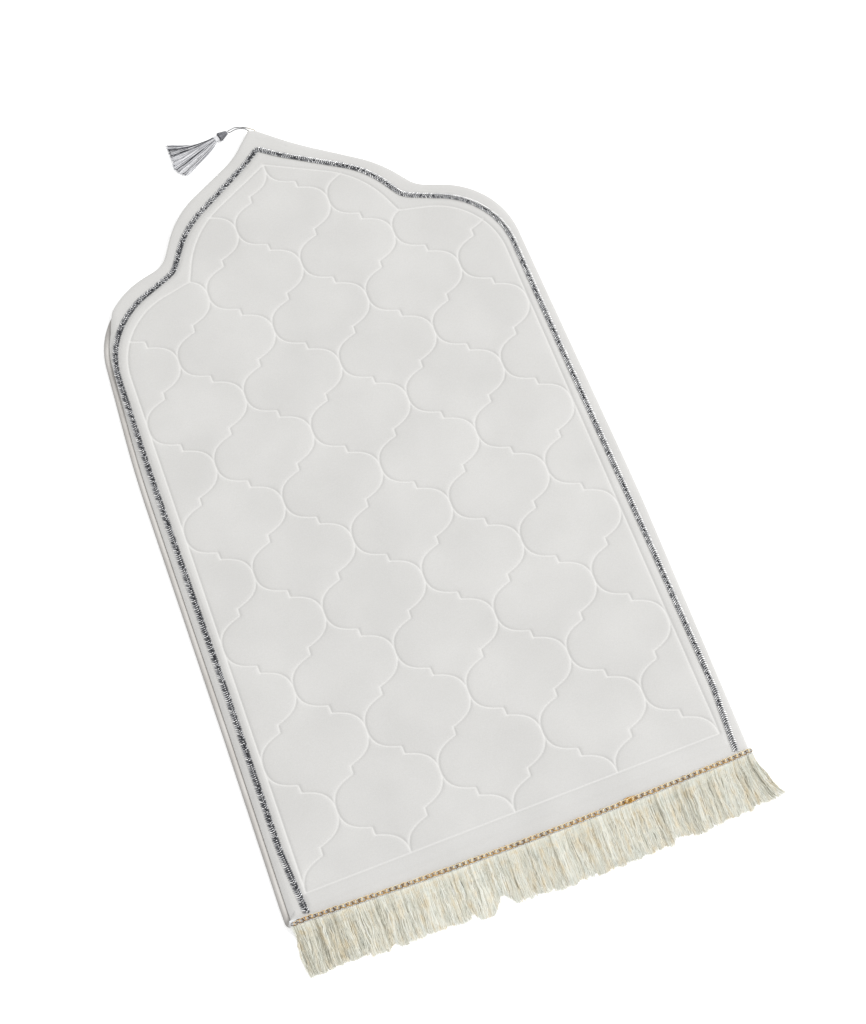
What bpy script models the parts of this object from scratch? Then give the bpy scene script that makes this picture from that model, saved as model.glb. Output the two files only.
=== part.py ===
"""Arch-ended padded prayer rug, about 0.65 m by 1.14 m, with a fringe and a tassel.

The rug lies flat, underside on z = 0. X runs across it, +Y along it towards the
pointed end of the arch, +Z up, and the origin is at the middle of the pad's plan.
All sizes are in metres.

Pieces: the padded top panel with its pressed trellis, the base panel whose rolled
edge shows under it, the silver braid, the gold chain braid, the fringe with its
woven heading, the tassel, and the tassel's hanging loop.
"""

import math
import random

import bmesh
import bpy
from mathutils import Vector, geometry

# ---- driving dimensions -------------------------------------------------------

PAD_TOP = 0.0140            # top of the quilted field above the floor
SHELF = 0.0126              # the margin outside the braid, pressed lower by the sewing
GAP = 0.0003                # room between pieces that touch

PITCH_X = 0.1450            # trellis repeat across the rug
PITCH_Y = 0.1710            # trellis repeat along the rug
FIELD_END = -0.5330         # bottom line of the pressed border, on a row of cell walls
FIELD_ROWS = 14             # rows of cell walls up to the point of the arch
EDGE_COLUMN = 4             # half repeats from the middle to the border's long side
WALL_SHARE = 0.100          # half a cell wall's length, as a share of the repeat
STEP_FOOT_X = 0.248         # where the hollow arc meets the step, as shares of the repeats
STEP_FOOT_Y = 0.218
ARC_HOLLOW = 0.0026         # how far the arc of a cell's side bows
GROOVE_DEPTH = 0.0024
GROOVE_HALF = 0.0031        # half the width of a pressed line

BRAID_HALF = 0.0047         # half the width of the silver braid
BRAID_RISE = 0.0017
BRAID_CHANNEL = 0.0052      # from the braid's middle to the foot of the raised margin
MARGIN_CREST = 0.0075       # from the braid's middle to the top of the raised margin

TUCK = 0.0090               # how far the pad stops short of the base panel on the left
BASE_INSET = 0.0010         # how far the base panel stops short of the pad elsewhere

CHAIN_INSET = 0.0055        # from the pad's fringed edge to the middle of the chain
CHAIN_HALF_LENGTH = 0.3208
CHAIN_SHIFT = 0.0021        # the chain runs on a little further at its right end
CHAIN_LINKS = 77
CHAIN_HALF_WIDTH = 0.0023
CHAIN_WAIST = 0.0013
CHAIN_RISE = 0.0018

STRANDS = 184
HEADING_HALF_LENGTH = 0.3215
HEADING_THICKNESS = 0.0012
STRAND_LENGTH = 0.0557
STRAND_WIDTH = 0.0025
STRAND_RISE = 0.0021
STRANDS_PER_LOCK = 8
LOCK_GATHER = 0.06          # share by which a lock narrows towards its tip
END_SPLAY = 0.0220          # how far the right-hand end of the fringe spreads out
END_SPLAY_START = 0.2750

TASSEL_NECK = Vector((-0.0512, 0.5722))
TASSEL_TURN = math.radians(189.3)     # direction of the skirt, anticlockwise from +X
HEAD_TURN = math.radians(196.0)       # direction from the head's narrow end to the neck
SKIRT_LENGTH = 0.0785
SKIRT_SPREAD = math.radians(24.8)     # half the angle of the fan at its tips
SKIRT_BOUND = 0.0210                  # length that is still gathered under the neck
HEAD_RADIUS = 0.0067
HEAD_SIDES = 12
LOOP_DIAMETER = 0.0011

MM = 0.001
UP = Vector((0.0, 0.0, 1.0))

# Corners of the rug's outline up its right half, from the fringe to the point of the
# arch, in millimetres: x, y, radius of the rounding, number of steps in it.
RUG_CORNERS = (
    (319.5, -570.3, 8, 4),         # corner at the fringe
    (326.3, -180.0, 3500, 4),      # faint bulge of the long side
    (319.2, 343.0, 123, 14),       # round shoulder
    (204.4, 386.7, 48, 5),         # hollow between shoulder and arch
    (165.5, 442.1, 200, 6),        # swelling of the arch
    (56.9, 519.6, 500, 3),         # slight ogee towards the point
)
# The same of its left half, which was cut fuller, from the fringe upwards.
RUG_LEFT_CORNERS = (
    (-328.5, -570.3, 8, 4),
    (-329.0, -540.0, 0, 0),
    (-328.0, -300.0, 4000, 3),
    (-329.0, 100.0, 2000, 3),
    (-313.8, 364.9, 128, 16),
    (-193.4, 393.7, 38, 5),
    (-150.3, 468.3, 150, 6),
    (-40.0, 527.0, 120, 3),
)
RUG_POINT = (
    (8.2, 563.0, 1.5, 2),
    (-3.0, 566.4, 1.5, 2),
)
FRINGE_BOW = (0.0, -582.8, 7600, 10)  # the fringed end bows outwards
FRINGE_SKEW = 3.3                     # right corner lower, left corner higher, by this

# Where the base panel shows along the left, in millimetres: the pad's edge draws back
# to the outline between these two x on the shoulder, and the base's roll sinks away.
TUCK_FADE = (-305.0, -285.0)
ROLL_FADE = (-316.0, -306.0)
SHOULDER_FROM = 200.0
ROLL_FOOT = -550.0
TUCK_FOOT = (-567.0, -559.2)

BRAID_CORNERS = (
    (299.2, -558.5, 1, 1),
    (306.6, -470.0, 300, 3),
    (306.6, -250.0, 3000, 2),
    (306.3, 40.0, 3000, 2),
    (305.2, 321.6, 120, 13),
    (179.3, 375.2, 34, 5),
    (142.7, 436.2, 150, 6),
    (27.0, 508.5, 200, 2),
)
BRAID_LEFT_CORNERS = (
    (-299.2, -558.5, 1, 1),
    (-306.6, -470.0, 300, 3),
    (-306.6, -250.0, 3000, 2),
    (-307.4, 90.0, 3000, 2),
    (-305.7, 323.8, 124, 13),
    (-180.3, 376.8, 34, 5),
    (-144.2, 438.6, 150, 6),
    (-27.0, 509.2, 200, 2),
)
BRAID_POINT = ((0.0, 529.3, 1.5, 2),)
BRAID_LEAN = (2.2, 40.0, -250.0)      # the braid's lower part lies this far to the right

BORDER_CORNERS = (
    (290.0, 324.6, 110, 12),
    (163.5, 353.2, 0, 0),          # sharp cusp
    (133.1, 429.5, 150, 6),
)
BORDER_POINT = ((0.0, 499.5, 0, 0),)

# Profile of the pad's rolled rim: distance in from its edge, height, height along the
# left side, in mm. The fringed end lies half way between the two heights.
PAD_RIM = (
    (10.0, 12.6, 12.6),
    (5.5, 12.3, 11.6),
    (2.2, 11.4, 9.9),
    (0.5, 9.6, 8.3),
    (0.0, 7.6, 7.2),
    (1.2, 5.0, 5.0),
)

# Profile of the base panel's edge: distance in from the outline, height, height of the
# roll where it stands up beside the pad, in mm.
BASE_RIM = (
    (10.1, 4.4, 4.4),
    (8.0, 4.4, 6.2),
    (6.0, 4.4, 7.3),
    (3.8, 4.3, 6.8),
    (1.6, 4.0, 5.0),
    (0.0, 2.6, 2.6),
    (0.6, 0.8, 0.8),
    (3.0, 0.0, 0.0),
)

# The heading's underside: distance in from the fringed edge, height, in mm.
HEADING_RUN = (
    (9.2, 13.0),
    (5.5, 12.7),
    (1.6, 11.2),
    (-1.2, 8.6),
    (-3.6, 6.2),
    (-9.5, 1.8),
)

# A strand's sections from root to tip: share of its length, of its width, of its rise.
STRAND_SECTIONS = (
    (0.19, 1.00, 1.0),
    (0.50, 0.98, 1.0),
    (0.82, 0.80, 0.8),
)

# Gaps in the row of strand tips: middle, half width, how much shorter, in mm.
TIP_DIPS = (
    (-53.0, 17.0, 18.0),
    (-96.0, 8.0, 11.0),
    (190.0, 14.0, 3.0),
    (-205.0, 12.0, 4.0),
)

# Head of the tassel: distance from the neck towards the loop, radius, in mm.
HEAD_PROFILE = (
    (18.8, 1.7),
    (17.0, 3.0),
    (12.5, 4.5),
    (7.5, 6.0),
    (4.4, 6.6),
    (2.6, 4.7),
    (-2.0, 4.4),
)

# Layers of the tassel's skirt: locks, lowest z, height of a lock at its widest,
# share of the full spread, share of the full length, in mm where they are sizes.
SKIRT_LAYERS = (
    (15, 0.0, 2.4, 1.00, 0.97),
    (13, 2.7, 2.2, 0.86, 1.00),
    (9, 5.2, 1.9, 0.62, 0.93),
)

# The gathered stretch's end, from the floor up: height in mm, share of the full spread.
SKIRT_BLOCK = (
    (0.0, 1.00),
    (2.7, 0.97),
    (5.2, 0.80),
    (7.1, 0.52),
)

# A lock's sections from root to tip: share of its length, of its width, of its height.
LOCK_SECTIONS = (
    (0.45, 0.86, 1.0),
    (0.85, 0.74, 0.9),
)

# Route of the loop from the pad's edge to the tassel's head and back: x, y, z in mm.
LOOP_ROUTE = (
    (-1.2, 566.9, 7.2),
    (-2.9, 570.9, 5.0),
    (-5.7, 577.0, 1.8),
    (-10.5, 580.0, 0.9),
    (-16.8, 581.2, 1.2),
    (-22.8, 579.6, 2.8),
    (-27.0, 577.3, 4.8),
    (-29.7, 576.2, 6.3),
    (-31.2, 576.9, 6.7),
    (-31.5, 578.4, 6.7),
    (-30.3, 580.0, 6.2),
    (-27.6, 581.3, 4.5),
    (-24.4, 582.9, 2.8),
    (-19.3, 584.7, 1.2),
    (-9.9, 582.3, 0.75),
    (-1.3, 577.2, 1.2),
    (3.9, 571.0, 4.0),
    (7.0, 566.8, 6.2),
    (7.9, 564.2, 7.0),
)
LOOP_STEPS = 3              # points between two points of the route


# ---- scene and materials ------------------------------------------------------

def clear_scene():
    """Remove every object that the file starts with."""
    for obj in list(bpy.data.objects):
        bpy.data.objects.remove(obj, do_unlink=True)


def material(name, rgb, roughness, metallic=0.0):
    """Return a plain Principled material."""
    made = bpy.data.materials.new(name)
    made.use_nodes = True
    shader = made.node_tree.nodes["Principled BSDF"]
    shader.inputs["Base Color"].default_value = (*rgb, 1.0)
    shader.inputs["Roughness"].default_value = roughness
    shader.inputs["Metallic"].default_value = metallic
    return made


def add_object(name, bm, made):
    """Turn a bmesh into a named object with one material."""
    bmesh.ops.recalc_face_normals(bm, faces=bm.faces)
    bmesh.ops.triangulate(bm, faces=bm.faces)
    mesh = bpy.data.meshes.new(name)
    bm.to_mesh(mesh)
    bm.free()
    mesh.materials.append(made)
    obj = bpy.data.objects.new(name, mesh)
    bpy.context.scene.collection.objects.link(obj)
    return obj


# ---- plan curves --------------------------------------------------------------

def whole(half, point, left=(), bow=(), skew=0.0):
    """Make a whole anticlockwise loop of corners, in metres.

    Without a left half of its own, the right one is mirrored.
    """
    left = left or [(-x, y, radius, steps) for x, y, radius, steps in half]
    right = [list(row) for row in half]
    left = [list(row) for row in reversed(left)]
    right[0][1] -= skew
    left[-1][1] += skew
    loop = right + list(point) + left + ([bow] if bow else [])
    return [(Vector((x, y)) * MM, radius * MM, steps) for x, y, radius, steps in loop]


def leaned(corners):
    """Move the lower part of the braid's corners to the right, where it is sewn."""
    lean, top, foot = BRAID_LEAN
    moved = []
    for here, radius, steps in corners:
        share = min(1.0, max(0.0, (top - here.y / MM) / (top - foot)))
        moved.append((here + Vector((lean * share * MM, 0.0)), radius, steps))
    return moved


def inset_corners(corners, inset):
    """Move every side of a loop of corners inwards and adapt the corner radii."""
    count = len(corners)
    moved = []
    for i in range(count):
        before = corners[i - 1][0]
        here, radius, steps = corners[i]
        after = corners[(i + 1) % count][0]
        into = (here - before).normalized()
        out = (after - here).normalized()
        turn = into.x * out.y - into.y * out.x
        normal_in = Vector((-into.y, into.x))
        normal_out = Vector((-out.y, out.x))
        bisector = (normal_in + normal_out).normalized()
        reach = inset / max(0.2, bisector.dot(normal_in))
        if radius > 0:
            radius = max(0.0006, radius - inset if turn > 0 else radius + inset)
        moved.append((here + bisector * reach, radius, steps))
    return moved


def rounded_points(corners, closed=True):
    """Return the points of a line of corners, each rounded by an arc of its radius."""
    count = len(corners)
    points = []
    for i in range(count):
        here, radius, steps = corners[i]
        at_end = not closed and i in (0, count - 1)
        if at_end or radius == 0 or steps == 0:
            points.append(here.copy())
            continue
        into = (here - corners[i - 1][0]).normalized()
        out = (corners[(i + 1) % count][0] - here).normalized()
        turn = math.atan2(into.x * out.y - into.y * out.x, into.dot(out))
        back = radius * math.tan(abs(turn) / 2)
        start = here - into * back
        side = Vector((-into.y, into.x)) * math.copysign(1.0, turn)
        centre = start + side * radius
        arm = start - centre
        for k in range(steps + 1):
            angle = turn * k / steps
            turned = Vector((
                arm.x * math.cos(angle) - arm.y * math.sin(angle),
                arm.x * math.sin(angle) + arm.y * math.cos(angle),
            ))
            points.append(centre + turned)
    return points


def split_long(points, limit):
    """Add points to a closed line so that no step is longer than the limit."""
    out = []
    for a, b in zip(points, points[1:] + points[:1]):
        parts = max(1, math.ceil((b - a).length / limit))
        out.extend(a.lerp(b, k / parts) for k in range(parts))
    return out


def rug_ring(inset):
    """Return the rug's outline, moved inwards; every inset has as many points."""
    corners = whole(RUG_CORNERS, RUG_POINT, RUG_LEFT_CORNERS, FRINGE_BOW, FRINGE_SKEW)
    return rounded_points(inset_corners(corners, inset))


def share_between(value, start, end):
    """Return how far a value lies from the start to the end, from 0 to 1."""
    return min(1.0, max(0.0, (value - start) / (end - start)))


def left_shares(place):
    """Return how far the pad is tucked back and the base's roll stands up at a place."""
    x, y = place.x / MM, place.y / MM
    if x > 0 or (x > -300 and y < 0):
        return 0.0, 0.0
    if y > SHOULDER_FROM:
        return share_between(x, TUCK_FADE[1], TUCK_FADE[0]), share_between(x, ROLL_FADE[1], ROLL_FADE[0])
    return share_between(y, *TUCK_FOOT), 1.0 if y > ROLL_FOOT else 0.0


def pad_ring(inset):
    """Return the pad's edge, moved inwards; it stops short of the outline on the left."""
    rows = zip(rug_ring(0.0), rug_ring(inset), rug_ring(inset + TUCK))
    return [near.lerp(far, left_shares(place)[0]) for place, near, far in rows]


def pad_low_shares():
    """Return for each point of the pad's edge how far its rim is pressed down."""
    shares = []
    for place in rug_ring(0.0):
        tucked = left_shares(place)[0]
        shares.append(max(tucked, 0.5 if place.y < -0.5 and abs(place.x) < 0.316 else 0.0))
    return shares


def edge_height_line():
    """Return the x, y points of the pad's fringed edge, from left to right."""
    ring = rug_ring(0.0)
    reach = (RUG_CORNERS[0][0] - RUG_CORNERS[0][2]) * MM
    low = [p for p in ring if p.y < -0.5 and abs(p.x) <= reach + 1e-6]
    return sorted(low, key=lambda p: p.x)


def edge_y(x, line):
    """Return the y of the pad's fringed edge at x."""
    for a, b in zip(line, line[1:]):
        if x <= b.x or b is line[-1]:
            return a.y + (b.y - a.y) * (x - a.x) / (b.x - a.x)
    return line[-1].y


# ---- the pressed trellis ------------------------------------------------------

def cell_side():
    """Return one side of a trellis cell, from a wall's end to the next wall's end.

    It starts as a hollow arc, climbs a small step half way, and ends as the same
    arc turned about its middle.
    """
    foot = Vector((STEP_FOOT_X * PITCH_X, STEP_FOOT_Y * PITCH_Y))
    middle = Vector((0.25 * PITCH_X, 0.25 * PITCH_Y))
    start = Vector((0.0, WALL_SHARE * PITCH_Y))
    chord = foot - start
    normal = Vector((-chord.y, chord.x)).normalized()
    arc = []
    for t in (0.0, 0.3, 0.65, 1.0):
        arc.append(start + chord * t + normal * ARC_HOLLOW * 4 * t * (1 - t))
    return arc + [middle * 2 - p for p in reversed(arc)]


def inside(point, loop):
    """Tell whether a point lies inside a closed line."""
    found = False
    for a, b in zip(loop, loop[1:] + loop[:1]):
        if (a.y > point.y) != (b.y > point.y):
            if point.x < a.x + (point.y - a.y) * (b.x - a.x) / (b.y - a.y):
                found = not found
    return found


def crossing(a, b, loop):
    """Return where the step a-b crosses a closed line."""
    for c, d in zip(loop, loop[1:] + loop[:1]):
        hit = geometry.intersect_line_line_2d(a, b, c, d)
        if hit is not None:
            return Vector(hit)
    return None


def trellis_lines():
    """Return the pressed border as a loop, and the trellis lines cut off at it."""
    corners = whole(BORDER_CORNERS, BORDER_POINT)
    edge = EDGE_COLUMN * PITCH_X / 2
    foot = [(Vector((-edge, FIELD_END)), 0.0, 0), (Vector((edge, FIELD_END)), 0.0, 0)]
    border = split_long(rounded_points(corners + foot), 0.030)
    shrunk = rounded_points(inset_corners(corners + foot, 0.0008))
    side = cell_side()
    wall = Vector((0.0, side[0].y))
    lines = []
    for row in range(FIELD_ROWS):
        for column in range(-EDGE_COLUMN, EDGE_COLUMN + 1):
            if (row + column) % 2:
                continue
            centre = Vector((column * PITCH_X / 2, FIELD_END + row * PITCH_Y / 2))
            if abs(column) < EDGE_COLUMN:
                lines.append([centre - wall, centre + wall])
            for way in (-1, 1):
                if way * column < EDGE_COLUMN:
                    lines.append([centre + Vector((way * p.x, p.y)) for p in side])
    kept = []
    for line in lines:
        kept.extend(cut_line(line, border, shrunk))
    return border, kept


def cut_line(line, border, shrunk):
    """Return the stretches of a line that lie inside the border."""
    runs = []
    run = []
    for a, b in zip(line, line[1:]):
        a_in = inside(a, shrunk)
        b_in = inside(b, shrunk)
        if a_in and not run:
            run = [a]
        if a_in and b_in:
            run.append(b)
        elif a_in or b_in:
            hit = crossing(a, b, border) or (b if a_in else a)
            if a_in:
                run.append(hit)
                runs.append(run)
                run = []
            else:
                run = [hit, b]
    if run:
        runs.append(run)
    shortest = 2.2 * GROOVE_HALF
    return [r for r in runs if sum((q - p).length for p, q in zip(r, r[1:])) > shortest]


class Graph:
    """Points and edges of the pressed lines, with shared points found by place."""

    def __init__(self):
        self.points = []
        self.index = {}
        self.edges = []
        self.links = {}

    def add(self, point):
        """Return the number of a point, adding it if it is new."""
        for dx in (0, -1, 1):
            for dy in (0, -1, 1):
                key = (round(point.x * 5000) + dx, round(point.y * 5000) + dy)
                if key in self.index:
                    return self.index[key]
        key = (round(point.x * 5000), round(point.y * 5000))
        self.index[key] = len(self.points)
        self.points.append(point.copy())
        return self.index[key]

    def line(self, points):
        """Add a line of points."""
        for a, b in zip(points, points[1:]):
            i = self.add(a)
            j = self.add(b)
            if i != j and j not in self.links.get(i, ()):
                self.edges.append((i, j))
                self.links.setdefault(i, []).append(j)
                self.links.setdefault(j, []).append(i)

    def split_at(self, point):
        """Put a point into the edge that passes through it."""
        new = self.add(point)
        if self.links.get(new):
            return
        for k, (i, j) in enumerate(self.edges):
            a = self.points[i]
            b = self.points[j]
            t = (point - a).dot(b - a) / (b - a).length_squared
            if 0 < t < 1 and (a.lerp(b, t) - point).length < 0.00005:
                self.edges[k] = (i, new)
                self.edges.append((new, j))
                self.links[i][self.links[i].index(j)] = new
                self.links[j][self.links[j].index(i)] = new
                self.links[new] = [i, j]
                return

    def distance(self, point):
        """Return the distance from a point to the nearest line."""
        best = 1.0
        for i, j in self.edges:
            a = self.points[i]
            b = self.points[j]
            if abs(a.x - point.x) > 0.04 or abs(a.y - point.y) > 0.04:
                continue
            t = (point - a).dot(b - a) / (b - a).length_squared
            best = min(best, (a.lerp(b, min(1.0, max(0.0, t))) - point).length)
        return best

    def shoulders(self, half):
        """Return points half a line's width beside the lines, and the edges that join them.

        Each sector between two lines that leave a point holds one such point.
        """
        found = []
        left = {}
        right = {}
        for i, near in self.links.items():
            here = self.points[i]
            turned = sorted((math.atan2(*reversed(self.points[j] - here)), j) for j in near)
            following = turned[1:] + [(turned[0][0] + math.tau, turned[0][1])]
            for (a, first), (b, second) in zip(turned, following):
                sector = b - a
                if sector > 1.75 * math.pi:
                    continue
                middle = a + sector / 2
                reach = min(half / math.sin(min(sector, math.tau - sector) / 2), 2.2 * half)
                spot = here + Vector((math.cos(middle), math.sin(middle))) * reach
                near_by = [k for k, other in enumerate(found) if (spot - other).length < 0.8 * half]
                if near_by:
                    number = near_by[0]
                elif self.distance(spot) > 0.93 * half:
                    number = len(found)
                    found.append(spot)
                else:
                    continue
                left[i, first] = number
                right[i, second] = number
        joins = set()
        for i, j in self.edges:
            joins.add((left.get((i, j)), right.get((j, i))))
            joins.add((right.get((i, j)), left.get((j, i))))
        return found, sorted((a, b) for a, b in joins if None not in (a, b) and a != b)


def pad_top():
    """Return points (x, y, z), triangles and the outer ring's size for the pad's top."""
    ring = pad_ring(PAD_RIM[0][0] * MM)
    braid = leaned(whole(BRAID_CORNERS, BRAID_POINT, BRAID_LEFT_CORNERS))
    foot = rounded_points(inset_corners(braid, BRAID_CHANNEL))
    crest = rounded_points(inset_corners(braid, MARGIN_CREST))
    border, lines = trellis_lines()
    graph = Graph()
    graph.line(border + border[:1])
    for line in lines:
        for end in (line[0], line[-1]):
            graph.split_at(end)
    for line in lines:
        graph.line(line)
    flat = []
    edges = []
    for loop, z in ((ring, SHELF), (foot, SHELF), (crest, PAD_TOP)):
        if loop is not ring:
            loop = split_long(loop, 0.045)
        first = len(flat)
        flat.extend((p.x, p.y, z) for p in loop)
        edges.extend((first + k, first + (k + 1) % len(loop)) for k in range(len(loop)))
    shoulders, joins = graph.shoulders(GROOVE_HALF)
    for places, pairs, z in (
        (graph.points, graph.edges, PAD_TOP - GROOVE_DEPTH),
        (shoulders, joins, PAD_TOP),
    ):
        first = len(flat)
        flat.extend((p.x, p.y, z) for p in places)
        edges.extend((first + i, first + j) for i, j in pairs)
    cdt = geometry.delaunay_2d_cdt([Vector(p[:2]) for p in flat], edges, [], 1, 1e-6, True)
    places, _, faces, sources = cdt[:4]
    faces = [f for f in faces if inside(sum((places[k] for k in f), Vector((0, 0))) / 3, ring)]
    points = []
    for place, source in zip(places, sources):
        height = min((flat[k][2] for k in source), default=PAD_TOP - GROOVE_DEPTH)
        points.append((place.x, place.y, height))
    order = {source[0]: k for k, source in enumerate(sources) if source}
    return points, faces, [order[k] for k in range(len(ring))]


def build_pad(made):
    """Build the padded panel: pressed top, rolled rim and flat underside."""
    points, faces, outer = pad_top()
    bm = bmesh.new()
    verts = [bm.verts.new(p) for p in points]
    for face in faces:
        bm.faces.new([verts[k] for k in face])
    ring = [verts[k] for k in outer]
    shares = pad_low_shares()
    for inset, height, low in PAD_RIM[1:]:
        below = [
            bm.verts.new((p.x, p.y, (height + (low - height) * share) * MM))
            for p, share in zip(pad_ring(inset * MM), shares)
        ]
        bridge(bm, ring, below)
        ring = below
    bm.faces.new(ring)
    loose = [v for v in bm.verts if not v.link_faces]
    bmesh.ops.delete(bm, geom=loose, context="VERTS")
    return add_object("pad", bm, made)


def bridge(bm, upper, lower):
    """Join two closed rings of as many points with a band of quads."""
    count = len(upper)
    for k in range(count):
        n = (k + 1) % count
        bm.faces.new((upper[k], lower[k], lower[n], upper[n]))


def build_base(made):
    """Build the base panel, whose rolled edge shows under the pad."""
    bm = bmesh.new()
    rings = []
    shares = [left_shares(place) for place in rug_ring(0.0)]
    for inset, height, roll in BASE_RIM:
        shown = rug_ring(inset * MM)
        hidden = rug_ring(inset * MM + BASE_INSET)
        rings.append([
            bm.verts.new((*b.lerp(a, tuck), (height + (roll - height) * up) * MM))
            for a, b, (tuck, up) in zip(shown, hidden, shares)
        ])
    for upper, lower in zip(rings, rings[1:]):
        bridge(bm, upper, lower)
    bm.faces.new(rings[0])
    bm.faces.new(list(reversed(rings[-1])))
    return add_object("base", bm, made)


# ---- trims --------------------------------------------------------------------

def sweep(bm, sections):
    """Join a list of closed cross-sections, each a list of points, into one body."""
    rings = [[bm.verts.new(p) for p in section] for section in sections]
    for a, b in zip(rings, rings[1:]):
        bridge(bm, a, b)
    bm.faces.new(list(reversed(rings[0])))
    bm.faces.new(rings[-1])


def build_braid(made):
    """Build the silver braid: two rounded rows that follow the arch."""
    corners = leaned(whole(BRAID_CORNERS, BRAID_POINT, BRAID_LEFT_CORNERS, skew=FRINGE_SKEW))
    line = rounded_points(corners, closed=False)
    low = SHELF + GAP
    profile = (
        (-BRAID_HALF, 0.0),
        (-0.55 * BRAID_HALF, BRAID_RISE),
        (0.0, 0.65 * BRAID_RISE),
        (0.55 * BRAID_HALF, BRAID_RISE),
        (BRAID_HALF, 0.0),
    )
    sections = []
    for k, here in enumerate(line):
        into = (here - line[max(0, k - 1)]).normalized()
        out = (line[min(len(line) - 1, k + 1)] - here).normalized()
        if k == 0:
            into = out
        if k == len(line) - 1:
            out = into
        along = (into + out).normalized()
        side = Vector((-along.y, along.x))
        stretch = 1.0 / max(0.5, along.dot(into))
        sections.append([
            (here.x + side.x * a * stretch, here.y + side.y * a * stretch, low + z)
            for a, z in profile
        ])
    bm = bmesh.new()
    sweep(bm, sections)
    return add_object("braid", bm, made)


def heading_height(inset):
    """Return the height of the heading's upper face over a distance in from the edge."""
    rows = [(a * MM, z * MM) for a, z in HEADING_RUN]
    for (a, za), (b, zb) in zip(rows, rows[1:]):
        if a >= inset >= b:
            return za + (zb - za) * (a - inset) / (a - b) + HEADING_THICKNESS
    return rows[0][1] + HEADING_THICKNESS


def build_chain(made):
    """Build the gold chain braid as a row of oval links on the heading."""
    line = edge_height_line()
    low = heading_height(CHAIN_INSET) + GAP + 0.0001
    pitch = 2 * CHAIN_HALF_LENGTH / CHAIN_LINKS
    sections = []
    for k in range(2 * CHAIN_LINKS + 1):
        x = CHAIN_SHIFT - CHAIN_HALF_LENGTH + k * pitch / 2
        wide = CHAIN_HALF_WIDTH if k % 2 else CHAIN_WAIST
        rise = CHAIN_RISE if k % 2 else 0.6 * CHAIN_RISE
        y = edge_y(x, line) + CHAIN_INSET
        sections.append([
            (x, y - wide, low),
            (x, y - 0.6 * wide, low + rise),
            (x, y + 0.6 * wide, low + rise),
            (x, y + wide, low),
        ])
    bm = bmesh.new()
    sweep(bm, sections)
    return add_object("chain_braid", bm, made)


# ---- fringe -------------------------------------------------------------------

def tip_shortening(x):
    """Return how much shorter a strand is at x, from the table of gaps."""
    short = 0.0
    for middle, half, depth in TIP_DIPS:
        away = abs(x - middle * MM) / (half * MM)
        if away < 1:
            short = max(short, depth * MM * 0.5 * (1 + math.cos(math.pi * away)))
    return short


def strand_plan():
    """Return for each strand its root x and a function that gives x along it."""
    rng = random.Random(11)
    pitch = 2 * HEADING_HALF_LENGTH / STRANDS
    plan = []
    for lock in range(math.ceil(STRANDS / STRANDS_PER_LOCK)):
        first = lock * STRANDS_PER_LOCK
        members = range(first, min(first + STRANDS_PER_LOCK, STRANDS))
        roots = [-HEADING_HALF_LENGTH + (k + 0.5) * pitch for k in members]
        middle = sum(roots) / len(roots)
        lean = rng.uniform(-0.0010, 0.0010)
        longer = rng.uniform(-0.0030, 0.0030)
        wave = rng.uniform(-0.0006, 0.0006)
        for root in roots:
            spread = max(0.0, (root - END_SPLAY_START) / (HEADING_HALF_LENGTH - END_SPLAY_START))
            length = STRAND_LENGTH + longer + rng.uniform(-0.0014, 0.0014) - tip_shortening(root)
            plan.append((root, middle, lean + END_SPLAY * spread ** 1.6, wave, length))
    return plan


def strand_x(row, share):
    """Return a strand's x at a share of its length."""
    root, middle, lean, wave, _ = row
    bend = share ** 1.5
    gathered = middle + (root - middle) * (1 - LOCK_GATHER * bend)
    return gathered + lean * bend + wave * math.sin(math.tau * share)


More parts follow.
